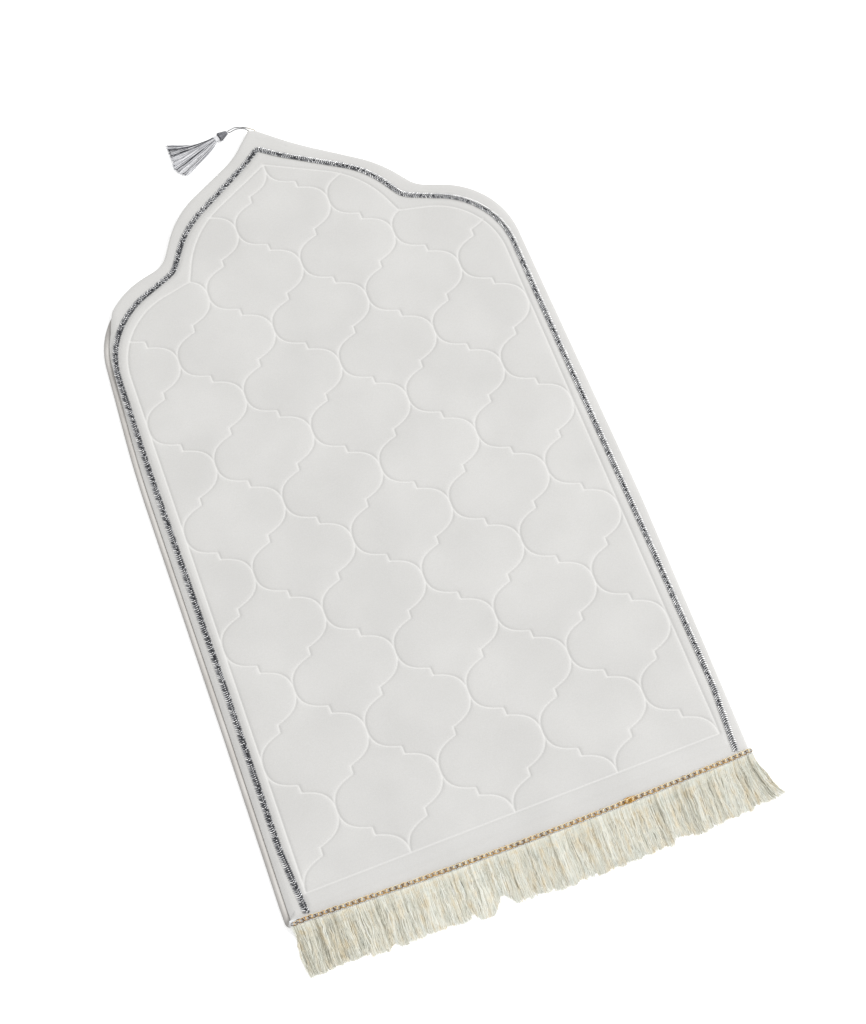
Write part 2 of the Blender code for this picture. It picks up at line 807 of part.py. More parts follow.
def build_fringe(made):
    """Build the woven heading over the pad's edge with its row of three-sided strands."""
    line = edge_height_line()
    bm = bmesh.new()
    plan = strand_plan()
    stations = list(range(0, STRANDS + 1, STRANDS_PER_LOCK))
    pitch = 2 * HEADING_HALF_LENGTH / STRANDS
    under = []
    upper = []
    for inset, height in HEADING_RUN[:-1]:
        xs = [-HEADING_HALF_LENGTH + k * pitch for k in stations]
        under.append([bm.verts.new((x, edge_y(x, line) + inset * MM, height * MM)) for x in xs])
        tilt = 0.0 if inset > 4 else 0.7
        upper.append([
            bm.verts.new((
                x,
                edge_y(x, line) + inset * MM - tilt * HEADING_THICKNESS,
                height * MM + HEADING_THICKNESS * (1.0 - 0.3 * tilt),
            ))
            for x in xs
        ])
    front_inset, front_z = (value * MM for value in HEADING_RUN[-1])
    feet = []
    tops = []
    for root, *_ in plan:
        y = edge_y(root, line) + front_inset
        half = STRAND_WIDTH / 2
        feet.append([bm.verts.new((root + side * half, y, front_z)) for side in (-1, 1)])
        tops.append(bm.verts.new((root, y, front_z + HEADING_THICKNESS)))
    ends = []
    for x in (-HEADING_HALF_LENGTH, HEADING_HALF_LENGTH):
        y = edge_y(x, line) + front_inset
        ends.append((bm.verts.new((x, y, front_z)), bm.verts.new((x, y, front_z + HEADING_THICKNESS))))

    for rows in (under, upper):
        for a, b in zip(rows, rows[1:]):
            for k in range(len(stations) - 1):
                bm.faces.new((a[k], a[k + 1], b[k + 1], b[k]))
    for k in range(len(stations) - 1):
        bm.faces.new((under[0][k], upper[0][k], upper[0][k + 1], under[0][k + 1]))
    for k in (0, -1):
        for a, b, c, d in zip(under, under[1:], upper, upper[1:]):
            bm.faces.new((a[k], b[k], d[k], c[k]))
        bm.faces.new((under[-1][k], ends[k][0], ends[k][1], upper[-1][k]))

    join_front(bm, under[-1], [v for pair in feet for v in pair], ends[0][0], ends[1][0])
    join_front(bm, upper[-1], tops, ends[0][1], ends[1][1])

    previous_foot, previous_top = ends[0]
    for (left, right), top in zip(feet, tops):
        bm.faces.new((previous_foot, left, top, previous_top))
        previous_foot, previous_top = right, top
    bm.faces.new((previous_foot, ends[1][0], ends[1][1], previous_top))

    for row, (left, right), top in zip(plan, feet, tops):
        add_strand(bm, row, (left, right, top), line, front_inset)
    return add_object("fringe", bm, made)


def join_front(bm, coarse, fine, first_end, last_end):
    """Fill the band between a coarse row and a fine row of points with triangles."""
    fine = [first_end] + fine + [last_end]
    i = 0
    j = 0
    while i < len(coarse) - 1 or j < len(fine) - 1:
        step_coarse = i < len(coarse) - 1 and (
            j == len(fine) - 1
            or (coarse[i].co.x + coarse[i + 1].co.x) < (fine[j].co.x + fine[j + 1].co.x)
        )
        if step_coarse:
            bm.faces.new((coarse[i], coarse[i + 1], fine[j]))
            i += 1
        else:
            bm.faces.new((coarse[i], fine[j + 1], fine[j]))
            j += 1


def add_strand(bm, row, ring, line, front_inset):
    """Draw one strand out of its root: down to the floor, then level along it."""
    root, length = row[0], row[-1]
    y_root = edge_y(root, line) + front_inset
    for share, width, rise in STRAND_SECTIONS:
        x = strand_x(row, share)
        y = y_root - share * length
        half = STRAND_WIDTH * width / 2
        section = [
            bm.verts.new((x - half, y, 0.0)),
            bm.verts.new((x + half, y, 0.0)),
            bm.verts.new((x, y, STRAND_RISE * rise)),
        ]
        bridge(bm, ring, section)
        ring = section
    tip = bm.verts.new((strand_x(row, 1.0), y_root - length, 0.0))
    for k in range(3):
        bm.faces.new((ring[k], tip, ring[(k + 1) % 3]))


# ---- tassel -------------------------------------------------------------------

def tassel_frame(turn=TASSEL_TURN):
    """Return the tassel's directions: along the skirt or the head, and to its side."""
    along = Vector((math.cos(turn), math.sin(turn), 0.0))
    return along, Vector((-along.y, along.x, 0.0))


def build_tassel(made):
    """Build the wrapped head, the gathered skirt under it and the loose locks."""
    along, side = tassel_frame()
    head_along, head_side = tassel_frame(HEAD_TURN)
    neck = Vector((TASSEL_NECK.x, TASSEL_NECK.y, HEAD_RADIUS))
    bm = bmesh.new()
    rings = []
    turns = [math.tau * k / HEAD_SIDES for k in range(HEAD_SIDES)]
    for distance, radius in HEAD_PROFILE:
        centre = neck - head_along * distance * MM
        rings.append([
            bm.verts.new(centre + (head_side * math.cos(a) + UP * math.sin(a)) * radius * MM)
            for a in turns
        ])
    for a, b in zip(rings, rings[1:]):
        bridge(bm, a, b)
    bm.faces.new(list(reversed(rings[0])))

    # The gathered stretch widens from the round neck to a flat block of cells, and
    # each cell of the block's end carries one lock.
    cells, frame = skirt_cells(bm, neck, along, side)
    fill_between(bm, rings[-1], frame)
    for corners, row in cells:
        add_lock(bm, corners, row, neck, along, side)
    return add_object("tassel", bm, made)


def skirt_cells(bm, neck, along, side):
    """Lay out the end of the gathered stretch as rows of cells, one for each lock."""
    columns = max(row[0] for row in SKIRT_LAYERS)
    grid = []
    for z, narrow in SKIRT_BLOCK:
        line = []
        for k in range(columns + 1):
            turn = SKIRT_SPREAD * narrow * (2 * k / columns - 1)
            spot = neck + (along * math.cos(turn) + side * math.sin(turn)) * SKIRT_BOUND
            line.append(bm.verts.new((spot.x, spot.y, z * MM)))
        grid.append(line)
    cells = []
    for level, (count, *_rest) in enumerate(SKIRT_LAYERS):
        first = (columns - count) // 2
        for k in range(columns):
            quad = (grid[level][k], grid[level][k + 1], grid[level + 1][k + 1], grid[level + 1][k])
            if first <= k < first + count:
                share = 2 * (k - first + 0.5) / count - 1
                cells.append((quad, (level, share)))
            else:
                bm.faces.new(quad)
    frame = (
        grid[0]
        + [line[-1] for line in grid[1:-1]]
        + list(reversed(grid[-1]))
        + [line[0] for line in reversed(grid[1:-1])]
    )
    return cells, frame


def fill_between(bm, inner, outer):
    """Fill the band between the round neck and the frame of cells with triangles."""
    centre = sum((v.co for v in outer), Vector()) / len(outer)
    along, side = tassel_frame()
    middle = sum((v.co for v in inner), Vector()) / len(inner)

    def angle(vert, origin):
        away = vert.co - origin
        return math.atan2(away.z, away.dot(side)) % math.tau

    inner = sorted(inner, key=lambda v: angle(v, middle))
    outer = sorted(outer, key=lambda v: angle(v, centre))
    i = 0
    j = 0
    turn_in = [angle(v, middle) for v in inner] + [math.tau + angle(inner[0], middle)]
    turn_out = [angle(v, centre) for v in outer] + [math.tau + angle(outer[0], centre)]
    while i < len(inner) or j < len(outer):
        a = inner[i % len(inner)]
        b = outer[j % len(outer)]
        if j == len(outer) or (i < len(inner) and turn_in[i + 1] < turn_out[j + 1]):
            bm.faces.new((a, inner[(i + 1) % len(inner)], b))
            i += 1
        else:
            bm.faces.new((a, b, outer[(j + 1) % len(outer)]))
            j += 1


def add_lock(bm, corners, row, neck, along, side):
    """Draw one four-sided lock of the skirt from its cell to its tip."""
    level, share = row
    count, low, rise, spread, length = SKIRT_LAYERS[level]
    turn = SKIRT_SPREAD * spread * share
    heading = along * math.cos(turn) + side * math.sin(turn)
    across = side * math.cos(turn) - along * math.sin(turn)
    wobble = 1.0 + 0.035 * math.sin(5.1 * share + 2.0 * level)
    reach_tip = SKIRT_LENGTH * length * wobble
    centre = sum((v.co for v in corners), Vector()) / len(corners)
    ring = [bm.verts.new(v.co.lerp(centre, 0.12)) for v in corners]
    bridge(bm, list(corners), ring)
    for part, width, tall in LOCK_SECTIONS:
        reach = SKIRT_BOUND + (reach_tip - SKIRT_BOUND) * part
        half = across * width * reach * SKIRT_SPREAD * spread / count
        bottom = Vector((neck.x, neck.y, low * MM)) + heading * reach
        top = bottom + UP * rise * MM * tall
        section = (bottom - half, bottom + half, top + half * 0.7, top - half * 0.7)
        lower = [bm.verts.new(p) for p in section]
        bridge(bm, ring, lower)
        ring = lower
    tip = Vector((neck.x, neck.y, low * MM)) + heading * reach_tip
    point = bm.verts.new(tip)
    for k in range(4):
        bm.faces.new((ring[k], point, ring[(k + 1) % 4]))


def smooth_route(route, steps):
    """Return points of a smooth curve through the route's own points."""
    points = [Vector(p) * MM for p in route]
    padded = [2 * points[0] - points[1]] + points + [2 * points[-1] - points[-2]]
    out = []
    for p0, p1, p2, p3 in zip(padded, padded[1:], padded[2:], padded[3:]):
        for k in range(steps):
            t = k / steps
            out.append(0.5 * (
                2 * p1
                + (p2 - p0) * t
                + (2 * p0 - 5 * p1 + 4 * p2 - p3) * t ** 2
                + (3 * p1 - p0 - 3 * p2 + p3) * t ** 3
            ))
    out.append(points[-1])
    return out


def build_loop(made):
    """Build the tassel's hanging loop as a thin round cord."""
    points = smooth_route(LOOP_ROUTE, LOOP_STEPS)
    curve = bpy.data.curves.new("tassel_loop", "CURVE")
    curve.dimensions = "3D"
    curve.bevel_depth = LOOP_DIAMETER / 2
    curve.bevel_resolution = 2
    curve.use_fill_caps = True
    spline = curve.splines.new("POLY")
    spline.points.add(len(points) - 1)
    for place, point in zip(spline.points, points):
        place.co = (*point, 1.0)
    curve.materials.append(made)
    obj = bpy.data.objects.new("tassel_loop", curve)
    bpy.context.scene.collection.objects.link(obj)
    return obj


def main():
    """Build the whole rug."""
    clear_scene()
    build_pad(material("velour", (0.76, 0.75, 0.73), 0.9))
    build_base(material("base_cloth", (0.68, 0.66, 0.64), 0.9))
    build_braid(material("silver_braid", (0.42, 0.43, 0.45), 0.35, 0.8))
    build_chain(material("gold_chain", (0.55, 0.36, 0.12), 0.35, 0.8))
    build_fringe(material("fringe_yarn", (0.72, 0.68, 0.56), 0.7))
    build_tassel(material("tassel_thread", (0.38, 0.39, 0.42), 0.4))
    build_loop(material("loop_cord", (0.35, 0.35, 0.36), 0.5))


main()
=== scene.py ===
"""Padded prayer rug with an arched, pointed end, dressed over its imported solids.

Everything is in metres in the part's own frame: X runs across the rug, +Y along it to
the point of the arch, +Z up, and the underside rests on z = 0. Tables of corners and
profiles are in millimetres, as a maker would write them on a pattern.
"""

from __future__ import annotations

import logging
import math
import random
from contextlib import contextmanager
from dataclasses import dataclass, field, replace
from enum import Enum
from typing import Iterator, Sequence

import bpy
import numpy as np
from mathutils import Matrix, Vector, geometry, noise

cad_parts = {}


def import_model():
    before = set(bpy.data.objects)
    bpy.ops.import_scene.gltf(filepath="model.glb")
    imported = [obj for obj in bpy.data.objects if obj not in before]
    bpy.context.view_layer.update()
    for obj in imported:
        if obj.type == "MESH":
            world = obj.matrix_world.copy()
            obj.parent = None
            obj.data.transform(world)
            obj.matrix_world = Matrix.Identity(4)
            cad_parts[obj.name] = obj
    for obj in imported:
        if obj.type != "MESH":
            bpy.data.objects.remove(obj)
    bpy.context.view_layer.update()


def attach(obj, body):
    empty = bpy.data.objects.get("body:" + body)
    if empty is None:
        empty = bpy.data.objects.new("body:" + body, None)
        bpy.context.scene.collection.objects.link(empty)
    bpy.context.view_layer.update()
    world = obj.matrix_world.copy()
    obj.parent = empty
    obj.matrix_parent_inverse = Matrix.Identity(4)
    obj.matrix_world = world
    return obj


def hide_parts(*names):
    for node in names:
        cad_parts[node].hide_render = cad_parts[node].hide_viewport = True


log = logging.getLogger("prayer_rug")

MM = 0.001
BODY = "root"
Pair = tuple[float, float]
Point = tuple[float, float, float]
Table = tuple[tuple[float, ...], ...]
Form = tuple[np.ndarray, list[list[int]]]
Object = bpy.types.Object
Tree = bpy.types.NodeTree
Socket = bpy.types.NodeSocket

# ---- plan of the rug


@dataclass(frozen=True)
class RugPlan:
    """Outlines and levels that all the pieces share, in millimetres.

    A corner is its x, its y and its rounding's radius; corners run from the fringe up.
    """

    rug: Table = (
        (319.5, -570.3, 8), (326.3, -180.0, 3500), (319.2, 343.0, 123),
        (204.4, 386.7, 48), (165.5, 442.1, 200), (56.9, 519.6, 500),
    )
    rug_left: Table = (
        (-328.5, -570.3, 8), (-329.0, -540.0, 0), (-328.0, -300.0, 4000),
        (-329.0, 100.0, 2000), (-313.8, 364.9, 128), (-193.4, 393.7, 38),
        (-150.3, 468.3, 150), (-40.0, 527.0, 120),
    )
    rug_point: Table = ((8.2, 563.0, 1.5), (-3.0, 566.4, 1.5))
    fringe_bow: Point = (0.0, -582.8, 7600)
    fringe_skew: float = 3.3
    fringed_from: Pair = (-500.0, 311.5)  # highest y and furthest x of the straight end
    tuck: float = 9.0
    base_inset: float = 1.0
    tuck_fade: Pair = (-285.0, -305.0)  # where each comes in on the left shoulder
    roll_fade: Pair = (-306.0, -316.0)
    tuck_foot: Pair = (-567.0, -559.2)  # where each comes in on the left side
    roll_foot: Pair = (-562.0, -544.0)
    shoulder_from: float = 200.0
    left_side: float = -300.0
    braid: Table = (
        (299.2, -558.5, 1), (306.6, -470.0, 300), (306.6, -250.0, 3000), (306.3, 40.0, 3000),
        (305.2, 321.6, 120), (179.3, 375.2, 34), (142.7, 436.2, 150), (27.0, 508.5, 200),
    )
    braid_left: Table = (
        (-299.2, -558.5, 1), (-306.6, -470.0, 300), (-306.6, -250.0, 3000),
        (-307.4, 90.0, 3000), (-305.7, 323.8, 124), (-180.3, 376.8, 34),
        (-144.2, 438.6, 150), (-27.0, 509.2, 200),
    )
    braid_point: Table = ((0.0, 529.3, 1.5),)
    braid_lean: Point = (2.2, 40.0, -250.0)  # how far, from which y and down to which
    border: Table = (
        (290.0, -533.0, 0), (290.0, 324.6, 110), (163.5, 353.2, 2), (133.1, 429.5, 150),
    )
    border_point: Table = ((0.0, 499.5, 2),)
    border_lean: float = 1.2  # how much further out the right side lies
    pitch_x: float = 145.0
    pitch_y: float = 171.0
    field_end: float = -533.0
    top: float = 14.0
    shelf: float = 12.6


PLAN = RugPlan()
RUG_BOX = ((-332.0, -590.0), (332.0, 580.0))


class Outline:
    """A line of rounded corners whose points stay in step when it is moved inwards."""

    least_radius = 0.6
    least_cosine = 0.2

    def __init__(self, corners: Sequence[Sequence[float]], closed: bool, step: float = 4.0) -> None:
        """Work out how many points each arc and each straight stretch needs.

        Args:
            corners: the corners in order, anticlockwise where the line is closed.
            closed: whether the last corner joins up with the first.
            step: the longest step between two points, in millimetres.
        """
        self.closed = closed
        self.places = [Vector(c[:2]) for c in corners]
        self.radii = [c[2] for c in corners]
        spans = self._spans(self.places, self.radii)
        self.arcs = [max(2, math.ceil(abs(turn) * r / step)) if r else 0 for _, turn, r, _ in spans]
        starts = [span[0] for span in spans]
        self.runs = [
            max(1, math.ceil((after - here).length / step))
            for here, after in zip(starts, starts[1:] + starts[:1])
        ]

    @staticmethod
    def _ways(places: list[Vector], i: int) -> tuple[Vector, Vector]:
        """Return the directions into and out of a corner."""
        after = places[(i + 1) % len(places)]
        return (places[i] - places[i - 1]).normalized(), (after - places[i]).normalized()

    def _spans(self, places: list[Vector], radii: list[float]) -> list[tuple]:
        """Return each corner's arc: its start, its turn, its radius and its centre."""
        spans = []
        for i, here in enumerate(places):
            into, out = self._ways(places, i)
            turn = math.atan2(into.x * out.y - into.y * out.x, into.dot(out))
            if not self.closed and i in (0, len(places) - 1):
                turn = 0.0
            start = here - into * (radii[i] * math.tan(abs(turn) / 2))
            side = Vector((-into.y, into.x)) * math.copysign(1.0, turn)
            spans.append((start, turn, radii[i], start + side * radii[i]))
        return spans

    def ring(self, inset: float = 0.0) -> np.ndarray:
        """Return the line's points, moved inwards.

        Args:
            inset: how far inwards, in millimetres.

        Returns:
            The points in millimetres, as rows of x and y.
        """
        places, radii = self._moved(inset)
        spans = self._spans(places, radii)
        points: list[Vector] = []
        for i, (start, turn, _, centre) in enumerate(spans):
            parts = self.arcs[i]
            if parts == 0 or turn == 0.0:
                points.append(places[i].copy())
            else:
                arm = start - centre
                for k in range(parts + 1):
                    c, s = math.cos(turn * k / parts), math.sin(turn * k / parts)
                    points.append(centre + Vector((arm.x * c - arm.y * s, arm.x * s + arm.y * c)))
            if self.closed or i < len(places) - 1:
                after = (i + 1) % len(places)
                target = spans[after][0] if spans[after][1] else places[after]
                last, runs = points[-1], self.runs[i]
                points.extend(last.lerp(target, k / runs) for k in range(1, runs))
        return np.array([tuple(p) for p in points])

    def _moved(self, inset: float) -> tuple[list[Vector], list[float]]:
        """Return the corners' places and radii after a move inwards."""
        if inset == 0.0:
            return self.places, self.radii
        places, radii = [], []
        for i, (here, radius) in enumerate(zip(self.places, self.radii)):
            into, out = self._ways(self.places, i)
            normal = Vector((-into.y, into.x))
            bisector = (normal + Vector((-out.y, out.x))).normalized()
            places.append(here + bisector * (inset / max(self.least_cosine, bisector.dot(normal))))
            inner = into.x * out.y - into.y * out.x > 0
            moved = radius - inset if inner else radius + inset
            radii.append(max(self.least_radius, moved) if radius > 0 else radius)
        return places, radii


def whole(
    half: Table, point: Table, left: Table = (), bow: Point | None = None, skew: float = 0.0
) -> list[Sequence[float]]:
    """Return a whole line of corners, mirrored where it has no left half of its own.

    Args:
        half: corners of the right half, from the fringe to the arch.
        point: the corners at the point of the arch.
        left: corners of the left half, from the fringe to the arch.
        bow: the corner in the middle of the fringed end, if the line has one.
        skew: how far the first corner drops and the last one rises.
    """
    first, *right = half
    *other, last = reversed(left or [(-x, y, r) for x, y, r in half])
    first = (first[0], first[1] - skew, first[2])
    last = (last[0], last[1] + skew, last[2])
    return [first, *right, *point, *other, last, *([bow] if bow else [])]


def braid_corners(skew: float = 0.0) -> list[Sequence[float]]:
    """Return the braid's corners, whose lower part is sewn a little to the right."""
    lean, top, foot = PLAN.braid_lean
    return [
        (x + lean * min(1.0, max(0.0, (top - y) / (top - foot))), y, radius)
        for x, y, radius in whole(PLAN.braid, PLAN.braid_point, PLAN.braid_left, skew=skew)
    ]


def rug_outline() -> Outline:
    """Return the rug's outline, which is cut fuller on its left half."""
    corners = whole(PLAN.rug, PLAN.rug_point, PLAN.rug_left, PLAN.fringe_bow, PLAN.fringe_skew)
    return Outline(corners, True)


def share_between(values: np.ndarray, span: Pair) -> np.ndarray:
    """Return how far the values lie along a span, from 0 to 1."""
    return np.clip((values - span[0]) / (span[1] - span[0]), 0.0, 1.0)


def soft_step(low: float, high: float, values: np.ndarray) -> np.ndarray:
    """Return a smooth rise from 0 to 1 between two values."""
    t = share_between(values, (low, high))
    return t * t * (3 - 2 * t)


def left_shares(places: np.ndarray) -> list[np.ndarray]:
    """Return how far the panel draws back and the base's roll stands up at each place."""
    x, y = places.T
    off = (x > 0) | ((x > PLAN.left_side) & (y < 0))
    high = y > PLAN.shoulder_from
    return [
        np.where(off, 0.0, np.where(high, share_between(x, fade), share_between(y, foot)))
        for fade, foot in ((PLAN.tuck_fade, PLAN.tuck_foot), (PLAN.roll_fade, PLAN.roll_foot))
    ]


def pad_ring(inset: float) -> np.ndarray:
    """Return the panel's edge, moved inwards; on the left it stops short of the outline."""
    outline = rug_outline()
    share = left_shares(outline.ring())[0][:, None]
    return outline.ring(inset) * (1 - share) + outline.ring(inset + PLAN.tuck) * share


def fringed_edge(x: np.ndarray | float) -> np.ndarray:
    """Return the y of the panel's fringed edge at x, which runs on straight at its ends."""
    ring = rug_outline().ring()
    top, half = PLAN.fringed_from
    low = ring[(ring[:, 1] < top) & (np.abs(ring[:, 0]) <= half)]
    low = low[np.argsort(low[:, 0])]
    before, beyond = low[:1] - 9 * (low[3] - low[0]), low[-1:] + 9 * (low[-1] - low[-4])
    return np.interp(x, *np.vstack([before, low, beyond]).T)


def closed_loop(ring: np.ndarray) -> np.ndarray:
    """Return a ring of points with its first one again at its end."""
    return np.vstack([ring, ring[:1]])


def frames_along(line: np.ndarray) -> tuple[np.ndarray, np.ndarray]:
    """Return the unit directions along a flat line and to its left."""
    along = np.gradient(line, axis=0)
    along /= np.linalg.norm(along, axis=1, keepdims=True)
    return along, np.stack([-along[:, 1], along[:, 0]], axis=1)


def even_steps(line: np.ndarray, step: float) -> np.ndarray:
    """Return a line's points again at even steps."""
    lengths = np.concatenate([[0.0], np.cumsum(np.linalg.norm(np.diff(line, axis=0), axis=1))])
    at = np.linspace(0.0, lengths[-1], max(2, int(round(lengths[-1] / step)) + 1))
    return np.stack([np.interp(at, lengths, column) for column in line.T], axis=1)


def smooth_line(points: Sequence[Sequence[float]], parts: int) -> np.ndarray:
    """Return a smooth curve through the given points.

    Args:
        points: the points that it passes through.
        parts: how many steps it takes between two of them.
    """
    p = np.array(points, dtype=float)
    padded = np.vstack([2 * p[0] - p[1], p, 2 * p[-1] - p[-2]])
    a, b, c, d = (padded[k : len(p) - 1 + k, None] for k in range(4))
    t = (np.arange(parts) / parts)[None, :, None]
    bend = (2 * a - 5 * b + 4 * c - d) * t**2 + (3 * b - a - 3 * c + d) * t**3
    curve = 0.5 * (2 * b + (c - a) * t + bend)
    return np.vstack([curve.reshape(-1, p.shape[1]), p[-1:]])


# ---- modelling helpers


def deselect() -> None:
    """Deselect every object and leave edit mode."""
    if bpy.context.object and bpy.context.object.mode != "OBJECT":
        bpy.ops.object.mode_set(mode="OBJECT")
    bpy.ops.object.select_all(action="DESELECT")


def activate(obj: Object) -> None:
    """Select one object alone and make it the active one."""
    deselect()
    obj.select_set(True)
    bpy.context.view_layer.objects.active = obj


@contextmanager
def editing(obj: Object) -> Iterator[None]:
    """Edit one object with everything in it selected, then go back to object mode."""
    activate(obj)
    bpy.ops.object.mode_set(mode="EDIT")
    bpy.ops.mesh.select_all(action="SELECT")
    yield
    bpy.ops.object.mode_set(mode="OBJECT")


def weld(obj: Object, reach: float = 1e-6) -> None:
    """Merge an object's points that lie within reach of one another."""
    with editing(obj):
        bpy.ops.mesh.remove_doubles(threshold=reach)


def face_outwards(obj: Object, close: bool = False) -> None:
    """Turn an object's faces outwards, after filling its open ends where asked."""
    with editing(obj):
        if close:
            bpy.ops.mesh.select_all(action="DESELECT")
            bpy.ops.mesh.select_non_manifold()
            bpy.ops.mesh.edge_face_add()
            bpy.ops.mesh.select_all(action="SELECT")
        bpy.ops.mesh.normals_make_consistent(inside=False)


def smooth(obj: Object, angle: float = 50.0) -> None:
    """Shade an object smooth, with edges sharper than the angle kept."""
    activate(obj)
    bpy.ops.object.shade_smooth_by_angle(angle=math.radians(angle))


def new_mesh(name: str, points: np.ndarray, faces: list[list[int]]) -> Object:
    """Return a new object from points in millimetres and faces."""
    mesh = bpy.data.meshes.new(name)
    mesh.from_pydata((np.asarray(points) * MM).tolist(), [], faces)
    mesh.update()
    obj = bpy.data.objects.new(name, mesh)
    bpy.context.scene.collection.objects.link(obj)
    return obj


def read_points(obj: Object) -> np.ndarray:
    """Return the places of an object's points, in its own units."""
    flat = np.empty(len(obj.data.vertices) * 3)
    obj.data.vertices.foreach_get("co", flat)
    return flat.reshape(-1, 3)


def wrapped_grid(name: str, places: np.ndarray, closed: bool) -> Object:
    """Lay a primitive grid out over rows of places.

    Args:
        name: the object's name.
        places: an array of rows, columns and the three coordinates, in millimetres.
        closed: whether each row joins up with itself.

    Returns:
        The grid, merged along its seam where it is closed.
    """
    if closed:
        places = np.concatenate([places, places[:, :1]], axis=1)
    rows, columns = places.shape[:2]
    deselect()
    bpy.ops.mesh.primitive_grid_add(
        x_subdivisions=columns - 1, y_subdivisions=rows - 1, size=1.0, location=(0, 0, 0)
    )
    obj = bpy.context.object
    obj.name = obj.data.name = name
    flat = read_points(obj)
    column = np.rint((flat[:, 0] + 0.5) * (columns - 1)).astype(int)
    row = np.rint((flat[:, 1] + 0.5) * (rows - 1)).astype(int)
    obj.data.vertices.foreach_set("co", (places[row, column] * MM).ravel())
    if closed:
        weld(obj)
    return obj


def template(obj: Object) -> Form:
    """Take an object's points and faces as a form to copy, and remove the object."""
    points = np.array([tuple(v.co) for v in obj.data.vertices])
    faces = [list(p.vertices) for p in obj.data.polygons]
    mesh = obj.data
    bpy.data.objects.remove(obj, do_unlink=True)
    bpy.data.meshes.remove(mesh)
    return points, faces


def model_thread(sections: int, sides: int) -> Form:
    """Model one straight thread of unit radius, with a section at each whole z."""
    deselect()
    bpy.ops.mesh.primitive_circle_add(vertices=sides, radius=1.0, fill_type="NGON")
    obj = bpy.context.object
    with editing(obj):
        for _ in range(sections - 1):
            bpy.ops.mesh.extrude_region_move(TRANSFORM_OT_translate={"value": (0, 0, 1)})
    face_outwards(obj)
    return template(obj)


def repeated(faces: list[list[int]], step: int, copies: int) -> list[list[int]]:
    """Return the faces of several copies of one form."""
    return [[i + step * k for i in face] for k in range(copies) for face in faces]


def paint(obj: Object, values: np.ndarray) -> None:
    """Give each point of an object a grey value that its material reads."""
    layer = obj.data.color_attributes.new(name="shade", type="FLOAT_COLOR", domain="POINT")
    rgba = np.repeat(np.clip(values, 0.0, 1.0)[:, None], 4, axis=1)
    rgba[:, 3] = 1.0
    layer.data.foreach_set("color", rgba.ravel().astype(np.float32))


# ---- finishes

WHITE = (1.0, 1.0, 1.0, 1.0)
WAVE_TURNS = 6.3


def linear(code: str) -> tuple[float, ...]:
    """Turn an sRGB hex code into a linear colour with full alpha."""
    parts = [int(code[k : k + 2], 16) / 255 for k in (1, 3, 5)]
    return (*(c / 12.92 if c <= 0.04045 else ((c + 0.055) / 1.055) ** 2.4 for c in parts), 1.0)


def add_node(
    tree: Tree, kind: str, inputs: dict[str | int, object] | None = None, **settings: object
) -> bpy.types.Node:
    """Add a node with its settings, values and links.

    Args:
        tree: the material's node tree.
        kind: the node's type, without its ShaderNode prefix.
        inputs: for each input, a value or the output socket that it is linked to.
        settings: the node's own properties.

    Returns:
        The new node.
    """
    node = tree.nodes.new("ShaderNode" + kind)
    for name, value in settings.items():
        setattr(node, name, value)
    for name, value in (inputs or {}).items():
        if isinstance(value, Socket):
            tree.links.new(value, node.inputs[name])
        else:
            node.inputs[name].default_value = value
    return node


def ramp(tree: Tree, source: Socket, stops: Sequence[tuple[float, str]]) -> Socket:
    """Return the colour that a value picks from a row of hex colours."""
    node = add_node(tree, "ValToRGB", {"Fac": source})
    elements = node.color_ramp.elements
    for k, (place, code) in enumerate(stops):
        element = elements[k] if k < 2 else elements.new(place)
        element.position = place
        element.color = linear(code)
    return node.outputs["Color"]


class Bands(Enum):
    """Which way the bands of a knit or a twist run."""

    ALONG = "X"
    SLANTING = "DIAGONAL"


